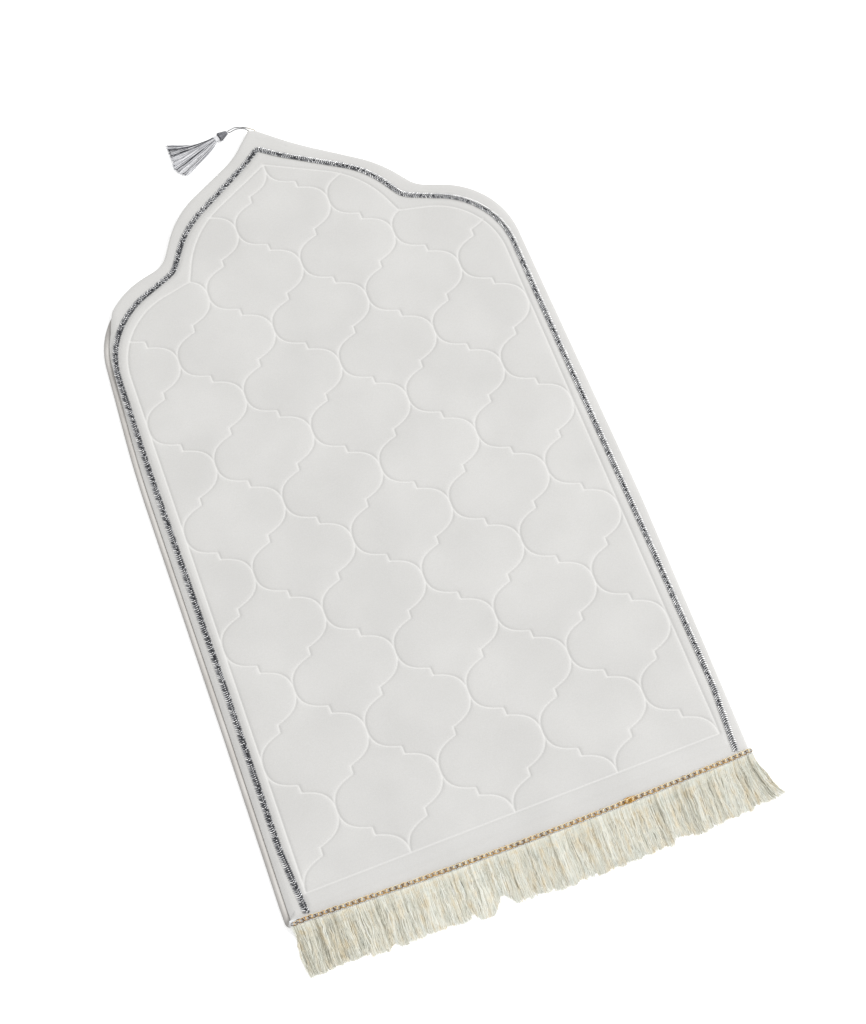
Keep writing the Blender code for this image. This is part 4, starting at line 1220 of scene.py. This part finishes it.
@dataclass
class SilverBraid(SubAssembly):
    """Two rows of slanting silver stitches and a row of knots painted bright as glints, over a dark
    core.
    """

    slot: str = "silver_braid"
    nodes: tuple[str, ...] = ("braid",)
    half_width: float = 4.7
    rise: float = 1.7
    bed: float = PLAN.shelf + 0.3
    core: tuple[Pair, ...] = (  # across and up, as shares of half the width and of the rise
        (-0.7, 0.0), (-0.5, 0.5), (0.0, 0.35), (0.5, 0.5), (0.7, 0.0), (0.0, 0.02), (-0.7, 0.0),
    )
    pitch: float = 3.0
    slant: float = 36.0
    # place across, half length and tone
    rows: tuple[Point, ...] = ((2.8, 2.1, 0.34), (-2.7, 2.7, 0.8))
    stitch: Pair = (0.9, 0.6)  # half width and half height
    knot: Point = (1.3, 0.75, 0.5)  # half length, half width and half height
    knot_from_middle: float = 0.6
    knot_slant: float = 0.5
    # bright tones of the knots: painted glints of the silver foil
    knot_glint_tones: Pair = (0.6, 1.0)
    bare: float = 0.2  # share of the places that have no knot
    # painted light and shade: the braid's tone rises towards the right, where the light comes from,
    # and falls on the left
    painted_light_right: float = 0.26
    tone_spread: float = 0.5
    turn_spread: float = 0.14
    levels: Pair = (0.62, 0.85)  # of the stitches and the knots, as shares of the rise
    level_spread: float = 0.12
    size_spread: float = 0.1
    dip: float = 0.14

    def build(self) -> None:
        """Build the core and the stitches on it."""
        corners = braid_corners(PLAN.fringe_skew)
        line = even_steps(Outline(corners, False, 2.0).ring(), self.pitch)
        self.build_core(line)
        self.build_stitches(line)

    def build_core(self, line: np.ndarray) -> None:
        """Lay the flat dark core under the stitches."""
        left = frames_along(line)[1]
        rows = []
        for across, height in self.core:
            level = np.full(len(line), self.bed + height * self.rise)
            rows.append(np.column_stack([line + left * across * self.half_width, level]))
        core = wrapped_grid("braid_core", np.array(rows), False)
        weld(core)
        face_outwards(core, close=True)
        smooth(core, 40.0)
        self.keep(core, DARK_CORE)

    def build_stitches(self, line: np.ndarray) -> None:
        """Model one stitch and copy it along both rows and, as knots, along the middle."""
        deselect()
        bpy.ops.mesh.primitive_uv_sphere_add(segments=7, ring_count=4, radius=1.0)
        form = template(bpy.context.object)
        along, left = frames_along(line)
        low, high = (self.bed + share * self.rise for share in self.levels)
        rng = random.Random(5)
        places, axes, shades = [], [], []
        for k, here in enumerate(line):
            for aside, half, tone in self.rows:
                side = math.copysign(1.0, aside)
                turn = math.radians(self.slant) + rng.uniform(-self.turn_spread, self.turn_spread)
                run = left[k] * side * math.cos(turn) - along[k] * math.sin(turn)
                slide = 0.5 * self.pitch * (side > 0)
                level = low + rng.uniform(-self.level_spread, self.level_spread)
                places.append((*(here + along[k] * slide + left[k] * aside), level))
                axes.append(self.axes(run, (half, *self.stitch), rng))
                # painted light: paler on the right, darker on the left
                tone += self.painted_light_right * here[0] / PLAN.braid[1][0]
                shades.append(tone + rng.uniform(-self.tone_spread, self.tone_spread))
            if rng.random() < self.bare:
                continue
            run = left[k] * math.cos(self.knot_slant) + along[k] * math.sin(self.knot_slant)
            places.append((*(here + left[k] * self.knot_from_middle), high))
            axes.append(self.axes(run, self.knot, rng))
            # painted glint: each knot gets a bright tone
            shades.append(rng.uniform(*self.knot_glint_tones))
        self.copy_about("braid_stitches", form, places, axes, np.array(shades)[:, None], SILVER)

    def axes(self, run: np.ndarray, half: Point, rng: random.Random) -> tuple[Point, ...]:
        """Return a stitch's axes: it lies along the run and dips at its outer end."""
        a, b, c = (h * rng.uniform(1 - self.size_spread, 1 + self.size_spread) for h in half)
        x, y = run
        return (x * a, y * a, -self.dip * a), (-y * b, x * b, 0.0), (0.0, 0.0, c)


@dataclass
class GoldChain(SubAssembly):
    """A gold cord worked as a chain of overlapping oval loops, and its knotted join."""

    slot: str = "gold_chain"
    nodes: tuple[str, ...] = ("chain_braid",)
    inset: float = 5.7
    shift: float = 2.1
    half_length: float = 320.8
    links: int = 77
    level: float = 14.5
    loop_radius: float = 2.35
    cord_radius: float = 0.47
    stretch: float = 2.6
    apart: float = 0.22
    cross: float = 0.16
    lean: float = 0.05
    tilt: float = 0.15
    end_size: float = 0.8
    spreads: Point = (0.2, 0.07, 0.05)  # aside, in size and in turn
    droop: Point = (2.2, -298.0, 20.0)  # how far, from which x and over what length
    join_at: float = 144.0
    join: tuple[Point, ...] = (  # along, aside and size of each loop of the knotted join
        (-5.0, 0.8, 0.9), (-2.6, 1.6, 0.9), (-0.2, -0.9, 1.0),
        (2.0, 1.4, 0.85), (4.2, -0.4, 0.9), (6.0, 1.0, 0.8),
    )
    join_tone: float = 0.3
    tones: Point = (0.52, 0.38, 0.2)  # middle, contrast between the rows, and spread
    brown: Point = (0.26, -180.0, -320.0)  # how much, from which x and to which
    ripple: float = 0.45

    def build(self) -> None:
        """Model one loop of cord and chain its copies along the fringed edge."""
        form = self.model_loop()
        rng = random.Random(21)
        places, axes, shades = [], [], []
        pitch = 2 * self.half_length / self.links
        for k in range(self.links):
            x = self.shift - self.half_length + (k + 0.5) * pitch
            size = self.end_size if k in (0, self.links - 1) else 1.0
            for way in (-1, 1):
                aside = rng.uniform(-self.spreads[0], self.spreads[0])
                places.append(self.place(x + self.apart * pitch * way, aside))
                own = size + rng.uniform(-self.spreads[1], self.spreads[1])
                axes.append(self.turned(x, way, own, rng))
                shades.append(self.tone(x, way, rng))
        for x, y, size in self.join:
            places.append(self.place(self.join_at + x, y))
            axes.append(self.turned(self.join_at + x, 1 if y > 0 else -1, size, rng))
            shades.append(self.join_tone)
        outer = np.hypot(form[0][:, 0], form[0][:, 1]) - np.hypot(self.loop_radius, self.stretch)
        ripple = 0.5 * np.sin(np.arange(len(form[0])) * 0.9) - 0.25 * np.sign(outer)
        shades = np.array(shades)[:, None] + self.ripple * ripple
        self.copy_about("gold_chain", form, places, axes, shades, GOLD)

    def model_loop(self) -> Form:
        """Model a round loop of cord and draw its two halves apart into an oval."""
        deselect()
        bpy.ops.mesh.primitive_torus_add(
            major_segments=20, minor_segments=7,
            major_radius=self.loop_radius, minor_radius=self.cord_radius,
        )
        points, faces = template(bpy.context.object)
        points[:, 0] += self.stretch * np.sign(np.round(points[:, 0], 4))
        return points, faces

    def place(self, x: float, aside: float) -> Point:
        """Return a loop's middle at x, on the chain's line, which droops at its left end."""
        most, start, run = self.droop
        droop = most * max(0.0, (start - x) / run) ** 2
        return (x, float(fringed_edge(x)) + self.inset + aside - droop, self.level)

    def turned(self, x: float, way: int, size: float, rng: random.Random) -> tuple[Point, ...]:
        """Return a loop's axes: long along the edge, tilted to lie on the next one."""
        ahead = float(fringed_edge(x + 2.0) - fringed_edge(x - 2.0)) / 4.0
        run = math.atan(ahead) + way * self.cross + rng.uniform(-self.spreads[2], self.spreads[2])
        cos_r, sin_r = math.cos(run) * size, math.sin(run) * size
        return (cos_r, sin_r, self.lean * way), (-sin_r, cos_r, self.tilt * way), (0.0, 0.0, size)

    def tone(self, x: float, way: int, rng: random.Random) -> float:
        """Return a loop's tone: browner at the left end, paler in the middle."""
        most, start, end = self.brown
        middle, contrast, spread = self.tones
        browner = most * float(soft_step(start, end, np.array(x)))
        return middle + contrast * way + rng.uniform(-spread, spread) - browner


@dataclass
class Fringe(SubAssembly):
    """Woven heading over the straight end, with silky strands in loose locks."""

    slot: str = "fringe_yarn"
    nodes: tuple[str, ...] = ("fringe",)
    half_length: float = 321.5
    thickness: float = 1.2
    run: tuple[Pair, ...] = (  # inset and height of the heading's tape
        (9.2, 13.0), (5.5, 12.7), (1.6, 11.2), (-1.2, 8.6), (-3.6, 6.2), (-9.5, 1.8),
    )
    turns: int = 118
    crossing: Pair = (3.6, -0.2)  # insets that a crossing yarn goes between
    crossing_half: float = 0.4
    crossing_lift: Pair = (0.45, 0.2)
    solids: int = 184
    per_lock: int = 8
    lock_spreads: Point = (1.0, 3.0, 0.6)
    solid_spread: float = 1.4
    lumps: Pair = (14.0, 27.0)  # least and greatest width of a lump in the row of tips
    layers: tuple[tuple[int, float, float], ...] = ((2650, 0.0, 0.5), (2650, 0.5, 1.0))
    length: float = 55.7
    trim: float = 2.6
    lump: float = 3.4
    uneven: Point = (0.9, 1.3, 1.5)  # in length, by wisp, by strand and by layer
    longest: float = 4.0
    hang: float = -9.5
    margin: float = 0.6
    jitter: float = 0.4
    gather: float = 0.05
    end_splay: float = 22.0
    splay_start: float = 275.0
    root: float = 1.4
    strand_half: float = 0.47
    wisp_width: float = 3.1
    to_wisp: float = 0.34
    curl: Pair = (1.6, 0.9)  # by lock and by wisp
    crimp: Pair = (0.45, 0.2)  # in every strand, and by wisp
    fine: float = 0.55
    stray: float = 1.5
    waves: Point = (1.1, 3.6, 1.9)  # in the wisp's curl, its crimp and the strand itself
    lie: Point = (0.45, 2.3, 0.2)  # above the ground, by layer and by wisp
    taper: tuple[Point, Point] = ((0.0, 0.8, 1.0), (1.0, 1.0, 0.55))
    stoutness: Pair = (0.75, 1.3)
    tone: float = 0.56
    # the layer's term darkens the lower strands and lightens the upper ones: painted shade
    tone_spreads_and_layer_shade: Point = (0.24, 0.08, 0.15)  # by strand, by wisp and by layer
    left_darker: Point = (0.12, -150.0, -250.0)  # how much, from which x and to which
    root_paler: Pair = (0.22, 0.16)  # how much, and over what share of the length
    shares: tuple[float, ...] = (
        0.0, 0.04, 0.10, 0.18, 0.28, 0.39, 0.50, 0.61, 0.72, 0.82, 0.91, 1.0,
    )
    dips: tuple[Point, ...] = (  # x, half width and depth of each gap in the tips
        (-53.0, 17.0, 18.0), (-96.0, 8.0, 11.0), (190.0, 14.0, 3.0), (-205.0, 12.0, 4.0),
    )
    ground: tuple[Pair, ...] = (  # inset and height of what the strands lie on
        (-80.0, 0.0), (-19.0, 0.0), (-14.0, 0.7), (-9.5, 2.6), (-6.0, 5.4),
        (-3.6, 7.5), (-1.2, 9.9), (1.6, 12.4), (4.0, 13.4),
    )

    def build(self) -> None:
        """Build the heading, its crossing yarns and the strands."""
        self.build_heading()
        self.build_crossings()
        for number, (count, low, high) in enumerate(self.layers):
            self.build_strands(number, count, low, high)

    def build_heading(self) -> None:
        """Bend the heading's tape over the rug's edge and thicken it."""
        xs = np.linspace(-self.half_length, self.half_length, 161)
        edge = fringed_edge(xs)
        rows = [
            np.column_stack([xs, edge + inset, np.full(len(xs), height)])
            for inset, height in smooth_line(self.run[:5], 3)
        ]
        tape = wrapped_grid("heading_tape", np.array(rows), False)
        activate(tape)
        thick = tape.modifiers.new("thickness", "SOLIDIFY")
        thick.thickness = 0.75 * self.thickness * MM
        thick.offset = 1.0
        bpy.ops.object.modifier_apply(modifier=thick.name)
        smooth(tape, 40.0)
        self.keep(tape, HEADING)

    def build_crossings(self) -> None:
        """Cross two zigzag yarns over the tape below the chain."""
        count = 2 * self.turns + 1
        xs = np.linspace(-self.half_length + 1.0, self.half_length - 1.0, count)
        fine = np.linspace(xs[0], xs[-1], 3 * (count - 1) + 1)
        table = np.array(self.run)[::-1].T
        paths = []
        for start in (0, 1):
            inset = np.where((np.arange(count) + start) % 2 == 0, *self.crossing)
            inset = np.interp(fine, xs, inset)
            lift = 0.9 * self.thickness + self.crossing_lift[0] + self.crossing_lift[1] * start
            z = np.interp(inset, *table) + lift
            paths.append(np.column_stack([fine, fringed_edge(fine) + inset, z]))
        yarn = replace(HEADING, name="heading_crossing", pale="#F4F6F7")
        self.lay_threads("heading_crossings", np.array(paths), self.crossing_half, yarn)

    def shortening(self, x: np.ndarray) -> np.ndarray:
        """Return how much shorter the strands are at x."""
        short = np.zeros_like(x)
        for middle, half, depth in self.dips:
            away = np.clip(np.abs(x - middle) / half, 0.0, 1.0)
            short = np.maximum(short, depth * 0.5 * (1 + np.cos(math.pi * away)))
        return short

    def locks(self) -> np.ndarray:
        """Return each lock's middle, lean, extra length and wave, as in the solids."""
        rng = random.Random(11)
        pitch = 2 * self.half_length / self.solids
        found = []
        for first in range(0, self.solids, self.per_lock):
            members = range(first, min(first + self.per_lock, self.solids))
            middle = sum(-self.half_length + (k + 0.5) * pitch for k in members) / len(members)
            found.append((middle, *(rng.uniform(-most, most) for most in self.lock_spreads)))
            for _ in members:  # the solids' own lengths, drawn to stay in step with them
                rng.uniform(-self.solid_spread, self.solid_spread)
        return np.array(found)

    def tip_lumps(self, x: np.ndarray) -> np.ndarray:
        """Return how far the row of tips bulges at x: round lumps with notches between."""
        rng = np.random.default_rng(3)
        at = -self.half_length
        out = np.zeros_like(x)
        while at < self.half_length:
            wide = rng.uniform(*self.lumps)
            t = np.clip((x - at) / wide, 0.0, 1.0)
            out = np.maximum(out, np.sin(math.pi * t) ** 0.5 * (0.6 + 0.4 * rng.uniform()))
            at += wide
        return out

    def build_strands(self, number: int, count: int, low: float, high: float) -> None:
        """Lay one layer of strands down over the edge and out along the floor.

        Args:
            number: the layer's number, from the floor up.
            count: how many strands it has.
            low: where the layer starts, as a share of the fringe's thickness.
            high: where it ends.
        """
        shared = np.random.default_rng(7)
        rng = np.random.default_rng(70 + number)
        far = self.half_length - self.margin
        roots = np.linspace(-far, far, count) + rng.uniform(-self.jitter, self.jitter, count)
        locks = self.locks()
        nearest = np.abs(roots[:, None] - locks[None, :, 0]).argmin(axis=1)
        middle, lean, longer, wave = (column[:, None] for column in locks[nearest].T)
        number_of = np.floor((roots + self.half_length) / self.wisp_width).astype(int)
        wisps = shared.normal(0.0, 1.0, (number_of.max() + 2, 6))
        wisp = (np.roll(wisps, 31, axis=0) if number else wisps)[number_of].T[..., None]
        wisp_middle = ((number_of + 0.5) * self.wisp_width - self.half_length)[:, None]
        own = rng.normal(0.0, 1.0, (count, 4)).T[..., None]
        length = self.length - self.trim + self.lump * self.tip_lumps(roots)
        length = (length - self.shortening(roots))[:, None] + longer
        length = length + sum(u * v for u, v in zip(self.uneven, (wisp[0], own[0], -number)))
        length = np.minimum(length, self.length + self.longest)
        roots = roots[:, None]
        layer = rng.uniform(low, high, count)[:, None]
        s = np.array(self.shares)[None, :]
        eased = np.minimum(1.0, 3.0 * s)

        splay = share_between(roots, (self.splay_start, self.half_length))
        drift = (lean + self.end_splay * splay**1.6 - self.gather * (roots - middle)) * s**1.5
        to_wisp = self.to_wisp * (wisp_middle - roots) * np.minimum(1.0, 1.6 * s)
        slow, quick, own_waves = self.waves
        curl = self.curl[0] * wave * np.sin(math.tau * s)
        curl = curl + self.curl[1] * wisp[1] * np.sin(math.tau * (slow * s + wisp[2]))
        crimp = self.crimp[0] + self.crimp[1] * wisp[4]
        crimp = crimp * np.sin(math.tau * (quick * s + 2 * wisp[2]))
        fine = self.fine * own[1] * np.sin(math.tau * (own_waves * s + own[2]))
        x = roots + to_wisp + drift + (curl + crimp + fine) * eased + self.stray * own[3] * s
        inset = self.root + (self.hang - length - self.root) * s
        floor, stack, fluff = self.lie
        lie = floor + stack * layer * (1 - 0.5 * s) + fluff * np.abs(wisp[3])
        lie = lie * (1 - 0.3 * (s > 0.95)) * (0.35 + 0.65 * eased)
        z = np.interp(inset, *np.array(self.ground).T) + lie
        paths = np.stack([x, fringed_edge(roots) + inset, z], axis=2)

        wide = np.interp(s, *self.taper) * rng.uniform(*self.stoutness, count)[:, None]
        darker, *left = self.left_darker
        paler, ends = self.root_paler
        tone = self.tone - darker * share_between(roots, left)
        # the layer's term is painted shade: lower strands darker, upper ones paler
        kinds = (own[0], wisp[5], layer - 0.6)
        tone = tone + sum(u * v for u, v in zip(self.tone_spreads_and_layer_shade, kinds))
        tone = tone + paler * (1 - share_between(s, (0.0, ends)))
        name, wide = f"fringe_strands_{number}", self.strand_half * wide
        self.lay_threads(name, paths, wide, FringeYarn(), tone, 3, 0.8, 0.02, True)


@dataclass
class Tassel(SubAssembly):
    """The tassel: wound dark head, pale bound neck and a fan of satin threads."""

    slot: str = "tassel_thread"
    nodes: tuple[str, ...] = ("tassel",)
    neck: Pair = (-51.2, 572.2)
    turn: float = 189.3
    head_turn: float = 196.0
    head: tuple[Pair, ...] = (  # distance from the neck and radius
        (18.8, 1.7), (17.0, 3.0), (12.5, 4.5), (7.5, 6.0), (4.4, 6.6), (2.6, 4.7), (-2.0, 4.4),
    )
    level: float = 6.7
    head_shade: float = 0.05
    rounds: int = 14
    winding_half: float = 0.42
    winding_shades: Table = ((0.14,), (0.5,))
    ragged: float = 0.28
    binding_turns: int = 6
    binding_radius: float = 4.4
    binding_half: float = 0.6
    binding_span: Pair = (2.4, 6.6)  # where it starts and how far it runs
    binding_shade: float = 0.92
    threads: int = 560
    thread_half: float = 0.5
    skirt: float = 78.5
    spread: float = 24.8
    crowding: float = 0.72
    waver: float = 0.012
    start_radius: float = 4.6
    start: float = 2.0
    rise: float = 3.9
    # how late a thread spreads, across the fan
    flare: tuple[Point, Point] = ((-1.0, 0.0, 1.0), (2.0, 1.3, 0.74))
    lie: Pair = (0.45, 5.6)  # lowest, and how much higher the top threads lie
    wave: float = 0.35
    tone_spread: float = 0.48
    streak_count: int = 34
    # tone level across the fan: painted shade on one side, painted light on the other
    streak_level_side_shade: Table = ((-1.0, -0.2, 0.3, 1.0), (0.34, 0.46, 0.72, 0.8))
    streak_depth: Table = ((-1.0, 0.0, 1.0), (0.24, 0.2, 0.12))

    def __post_init__(self) -> None:
        """Work out the directions of the skirt and of the head."""
        self.along, self.side = self.directions(self.turn)
        self.head_along, self.head_side = self.directions(self.head_turn)
        self.up = np.array((0.0, 0.0, 1.0))

    @staticmethod
    def directions(degrees: float) -> tuple[np.ndarray, np.ndarray]:
        """Return the level direction at an angle from +X, and the one to its left."""
        c, s = math.cos(math.radians(degrees)), math.sin(math.radians(degrees))
        return np.array((c, s, 0.0)), np.array((-s, c, 0.0))

    def build(self) -> None:
        """Build the head with its winding, the neck's binding and the skirt."""
        self.build_head()
        self.build_winding()
        self.build_binding()
        self.build_skirt()

    def centre(self, distance: float | np.ndarray) -> np.ndarray:
        """Return the head's axis at a distance from the neck towards the loop."""
        return np.array((*self.neck, self.level)) - np.multiply.outer(distance, self.head_along)

    def around(self, angle: np.ndarray) -> np.ndarray:
        """Return the unit directions round the head's axis."""
        return np.cos(angle)[:, None] * self.head_side + np.sin(angle)[:, None] * self.up

    def build_head(self) -> None:
        """Turn the head's core from its profile."""
        turns = np.linspace(0.0, math.tau, 28, endpoint=False)
        rows = [
            self.centre(float(distance)) + float(radius) * self.around(turns)
            for distance, radius in smooth_line(self.head, 4)
        ]
        head = wrapped_grid("tassel_head", np.array(rows), True)
        face_outwards(head, close=True)
        smooth(head)
        paint(head, np.full(len(head.data.vertices), self.head_shade))
        self.keep(head, replace(SATIN, name="tassel_head"))

    def build_winding(self) -> None:
        """Wind two threads round the cone, looser and more ragged towards its rim."""
        profile = smooth_line(self.head[:5], 6)
        count = self.rounds * 16
        rng = np.random.default_rng(17)
        share = np.linspace(0.02, 1.0, count)
        distance, radius = (
            np.interp(share, np.linspace(0, 1, len(profile)), column) for column in profile.T
        )
        paths = []
        for way in (-1.0, 1.0):
            ragged = rng.normal(0.0, self.ragged, count) * share**3
            angle = way * math.tau * self.rounds * share
            out = (radius + 0.1 + ragged)[:, None] * self.around(angle)
            paths.append(self.centre(distance + 1.6 * ragged) + out)
        finish = replace(SATIN, name="tassel_winding")
        wide, shades = self.winding_half, np.array(self.winding_shades)
        self.lay_threads("tassel_winding", np.array(paths), wide, finish, shades, floor=0.03)

    def build_binding(self) -> None:
        """Bind the neck with a few turns of pale thread."""
        share = np.linspace(0.0, 1.0, self.binding_turns * 18)
        around = self.around(math.tau * self.binding_turns * share)
        start, run = self.binding_span
        path = self.centre(start - run * share) + self.binding_radius * around
        finish = replace(SATIN, name="tassel_binding")
        wide = self.binding_half
        self.lay_threads("tassel_binding", path[None], wide, finish, self.binding_shade, 6)

    def build_skirt(self) -> None:
        """Fan the threads out from the neck and down to the floor."""
        rng = np.random.default_rng(31)
        count = self.threads
        around = rng.uniform(0.0, math.tau, count)
        out = np.sqrt(rng.uniform(0.0, 1.0, count))
        a, b = (out * np.cos(around))[:, None], (out * np.sin(around))[:, None]
        limit = math.radians(self.spread)
        fan = limit * np.sign(a) * np.abs(a) ** self.crowding * (1 - 0.22 * np.maximum(0.0, b))
        fan = np.clip(fan + rng.normal(0.0, self.waver, (count, 1)), -limit, limit)
        tips = 0.97 + 0.03 * np.sin(9.0 * fan) + rng.normal(0.0, self.waver, (count, 1))
        reach = self.skirt * np.minimum(1.03, tips)
        s = np.linspace(0.0, 1.0, 11)[None, :]
        root = self.start_radius * a
        aside = root + (reach * np.sin(fan) - root) * s ** np.interp(a, *self.flare)
        ahead = self.start + (reach * np.cos(fan) - self.start) * s
        low = self.lie[0] + self.lie[1] * (0.5 + 0.5 * b) * (1 - 0.35 * s)
        z = low + (self.level + self.rise * b - low) * (1 - s) ** 2.2
        swing = math.tau * (1.3 * s + rng.uniform(0, 1, (count, 1)))
        wave = rng.normal(0.0, self.wave, (count, 1)) * np.sin(swing)
        aside = aside + wave * np.minimum(1.0, 3 * s)
        lengths, ways = (ahead, aside, z), (self.along, self.side, self.up)
        paths = sum(length[..., None] * way for length, way in zip(lengths, ways))
        paths = paths + np.array((*self.neck, 0.0))
        wide = self.thread_half * np.interp(s, (0, 0.9, 1), (0.8, 1, 0.8))
        tone = self.streaks(fan / limit) + rng.normal(0.0, self.tone_spread, (count, 1))
        # 0.06 * b is painted light: the upper threads are paler than the lower ones
        self.lay_threads("tassel_skirt", paths, wide, SATIN, tone + 0.06 * b, 5, 0.85, 0.02, True)

    def streaks(self, at: np.ndarray) -> np.ndarray:
        """Return the tone across the fan: random streaks over painted shade on one side and painted
        light on the other.
        """
        knots = np.linspace(-1.05, 1.05, self.streak_count)
        rough = np.random.default_rng(12).normal(0.0, 1.0, len(knots))
        depth = np.interp(knots, *self.streak_depth)
        return np.interp(at, knots, np.interp(knots, *self.streak_level_side_shade) + depth * rough)


@dataclass
class HangingLoop(SubAssembly):
    """The tassel's thin loop, from the seam at the point to the head and back."""

    slot: str = "loop_cord"
    nodes: tuple[str, ...] = ("tassel_loop",)
    diameter: float = 1.1
    route: tuple[Point, ...] = (
        (-1.2, 566.9, 7.2), (-2.9, 570.9, 5.0), (-5.7, 577.0, 1.8), (-10.5, 580.0, 0.9),
        (-16.8, 581.2, 1.2), (-22.8, 579.6, 2.8), (-27.0, 577.3, 4.8), (-29.7, 576.2, 6.3),
        (-31.2, 576.9, 6.7), (-31.5, 578.4, 6.7), (-30.3, 580.0, 6.2), (-27.6, 581.3, 4.5),
        (-24.4, 582.9, 2.8), (-19.3, 584.7, 1.2), (-9.9, 582.3, 0.75), (-1.3, 577.2, 1.2),
        (3.9, 571.0, 4.0), (7.0, 566.8, 6.2), (7.9, 564.2, 7.0),
    )

    def build(self) -> None:
        points = smooth_line(self.route, 5) * MM
        curve = bpy.data.curves.new("hanging_loop", "CURVE")
        curve.dimensions = "3D"
        curve.bevel_depth = self.diameter / 2 * MM
        curve.bevel_resolution = 4
        curve.use_fill_caps = True
        spline = curve.splines.new("POLY")
        spline.points.add(len(points) - 1)
        for place, point in zip(spline.points, points):
            place.co = (*point, 1.0)
        cord = bpy.data.objects.new("hanging_loop", curve)
        bpy.context.scene.collection.objects.link(cord)
        self.keep(cord, LoopCord(), True)


# ---- assembly


def main() -> None:
    """Load the frame, then build the studio and each sub-assembly in turn."""
    logging.basicConfig(level=logging.INFO, format="%(name)s: %(message)s")
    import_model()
    Studio().build()
    for part in (HangingLoop, PaddedPanel, BasePanel, SilverBraid, GoldChain, Fringe, Tassel):
        part().build()


if __name__ == "__main__":
    main()
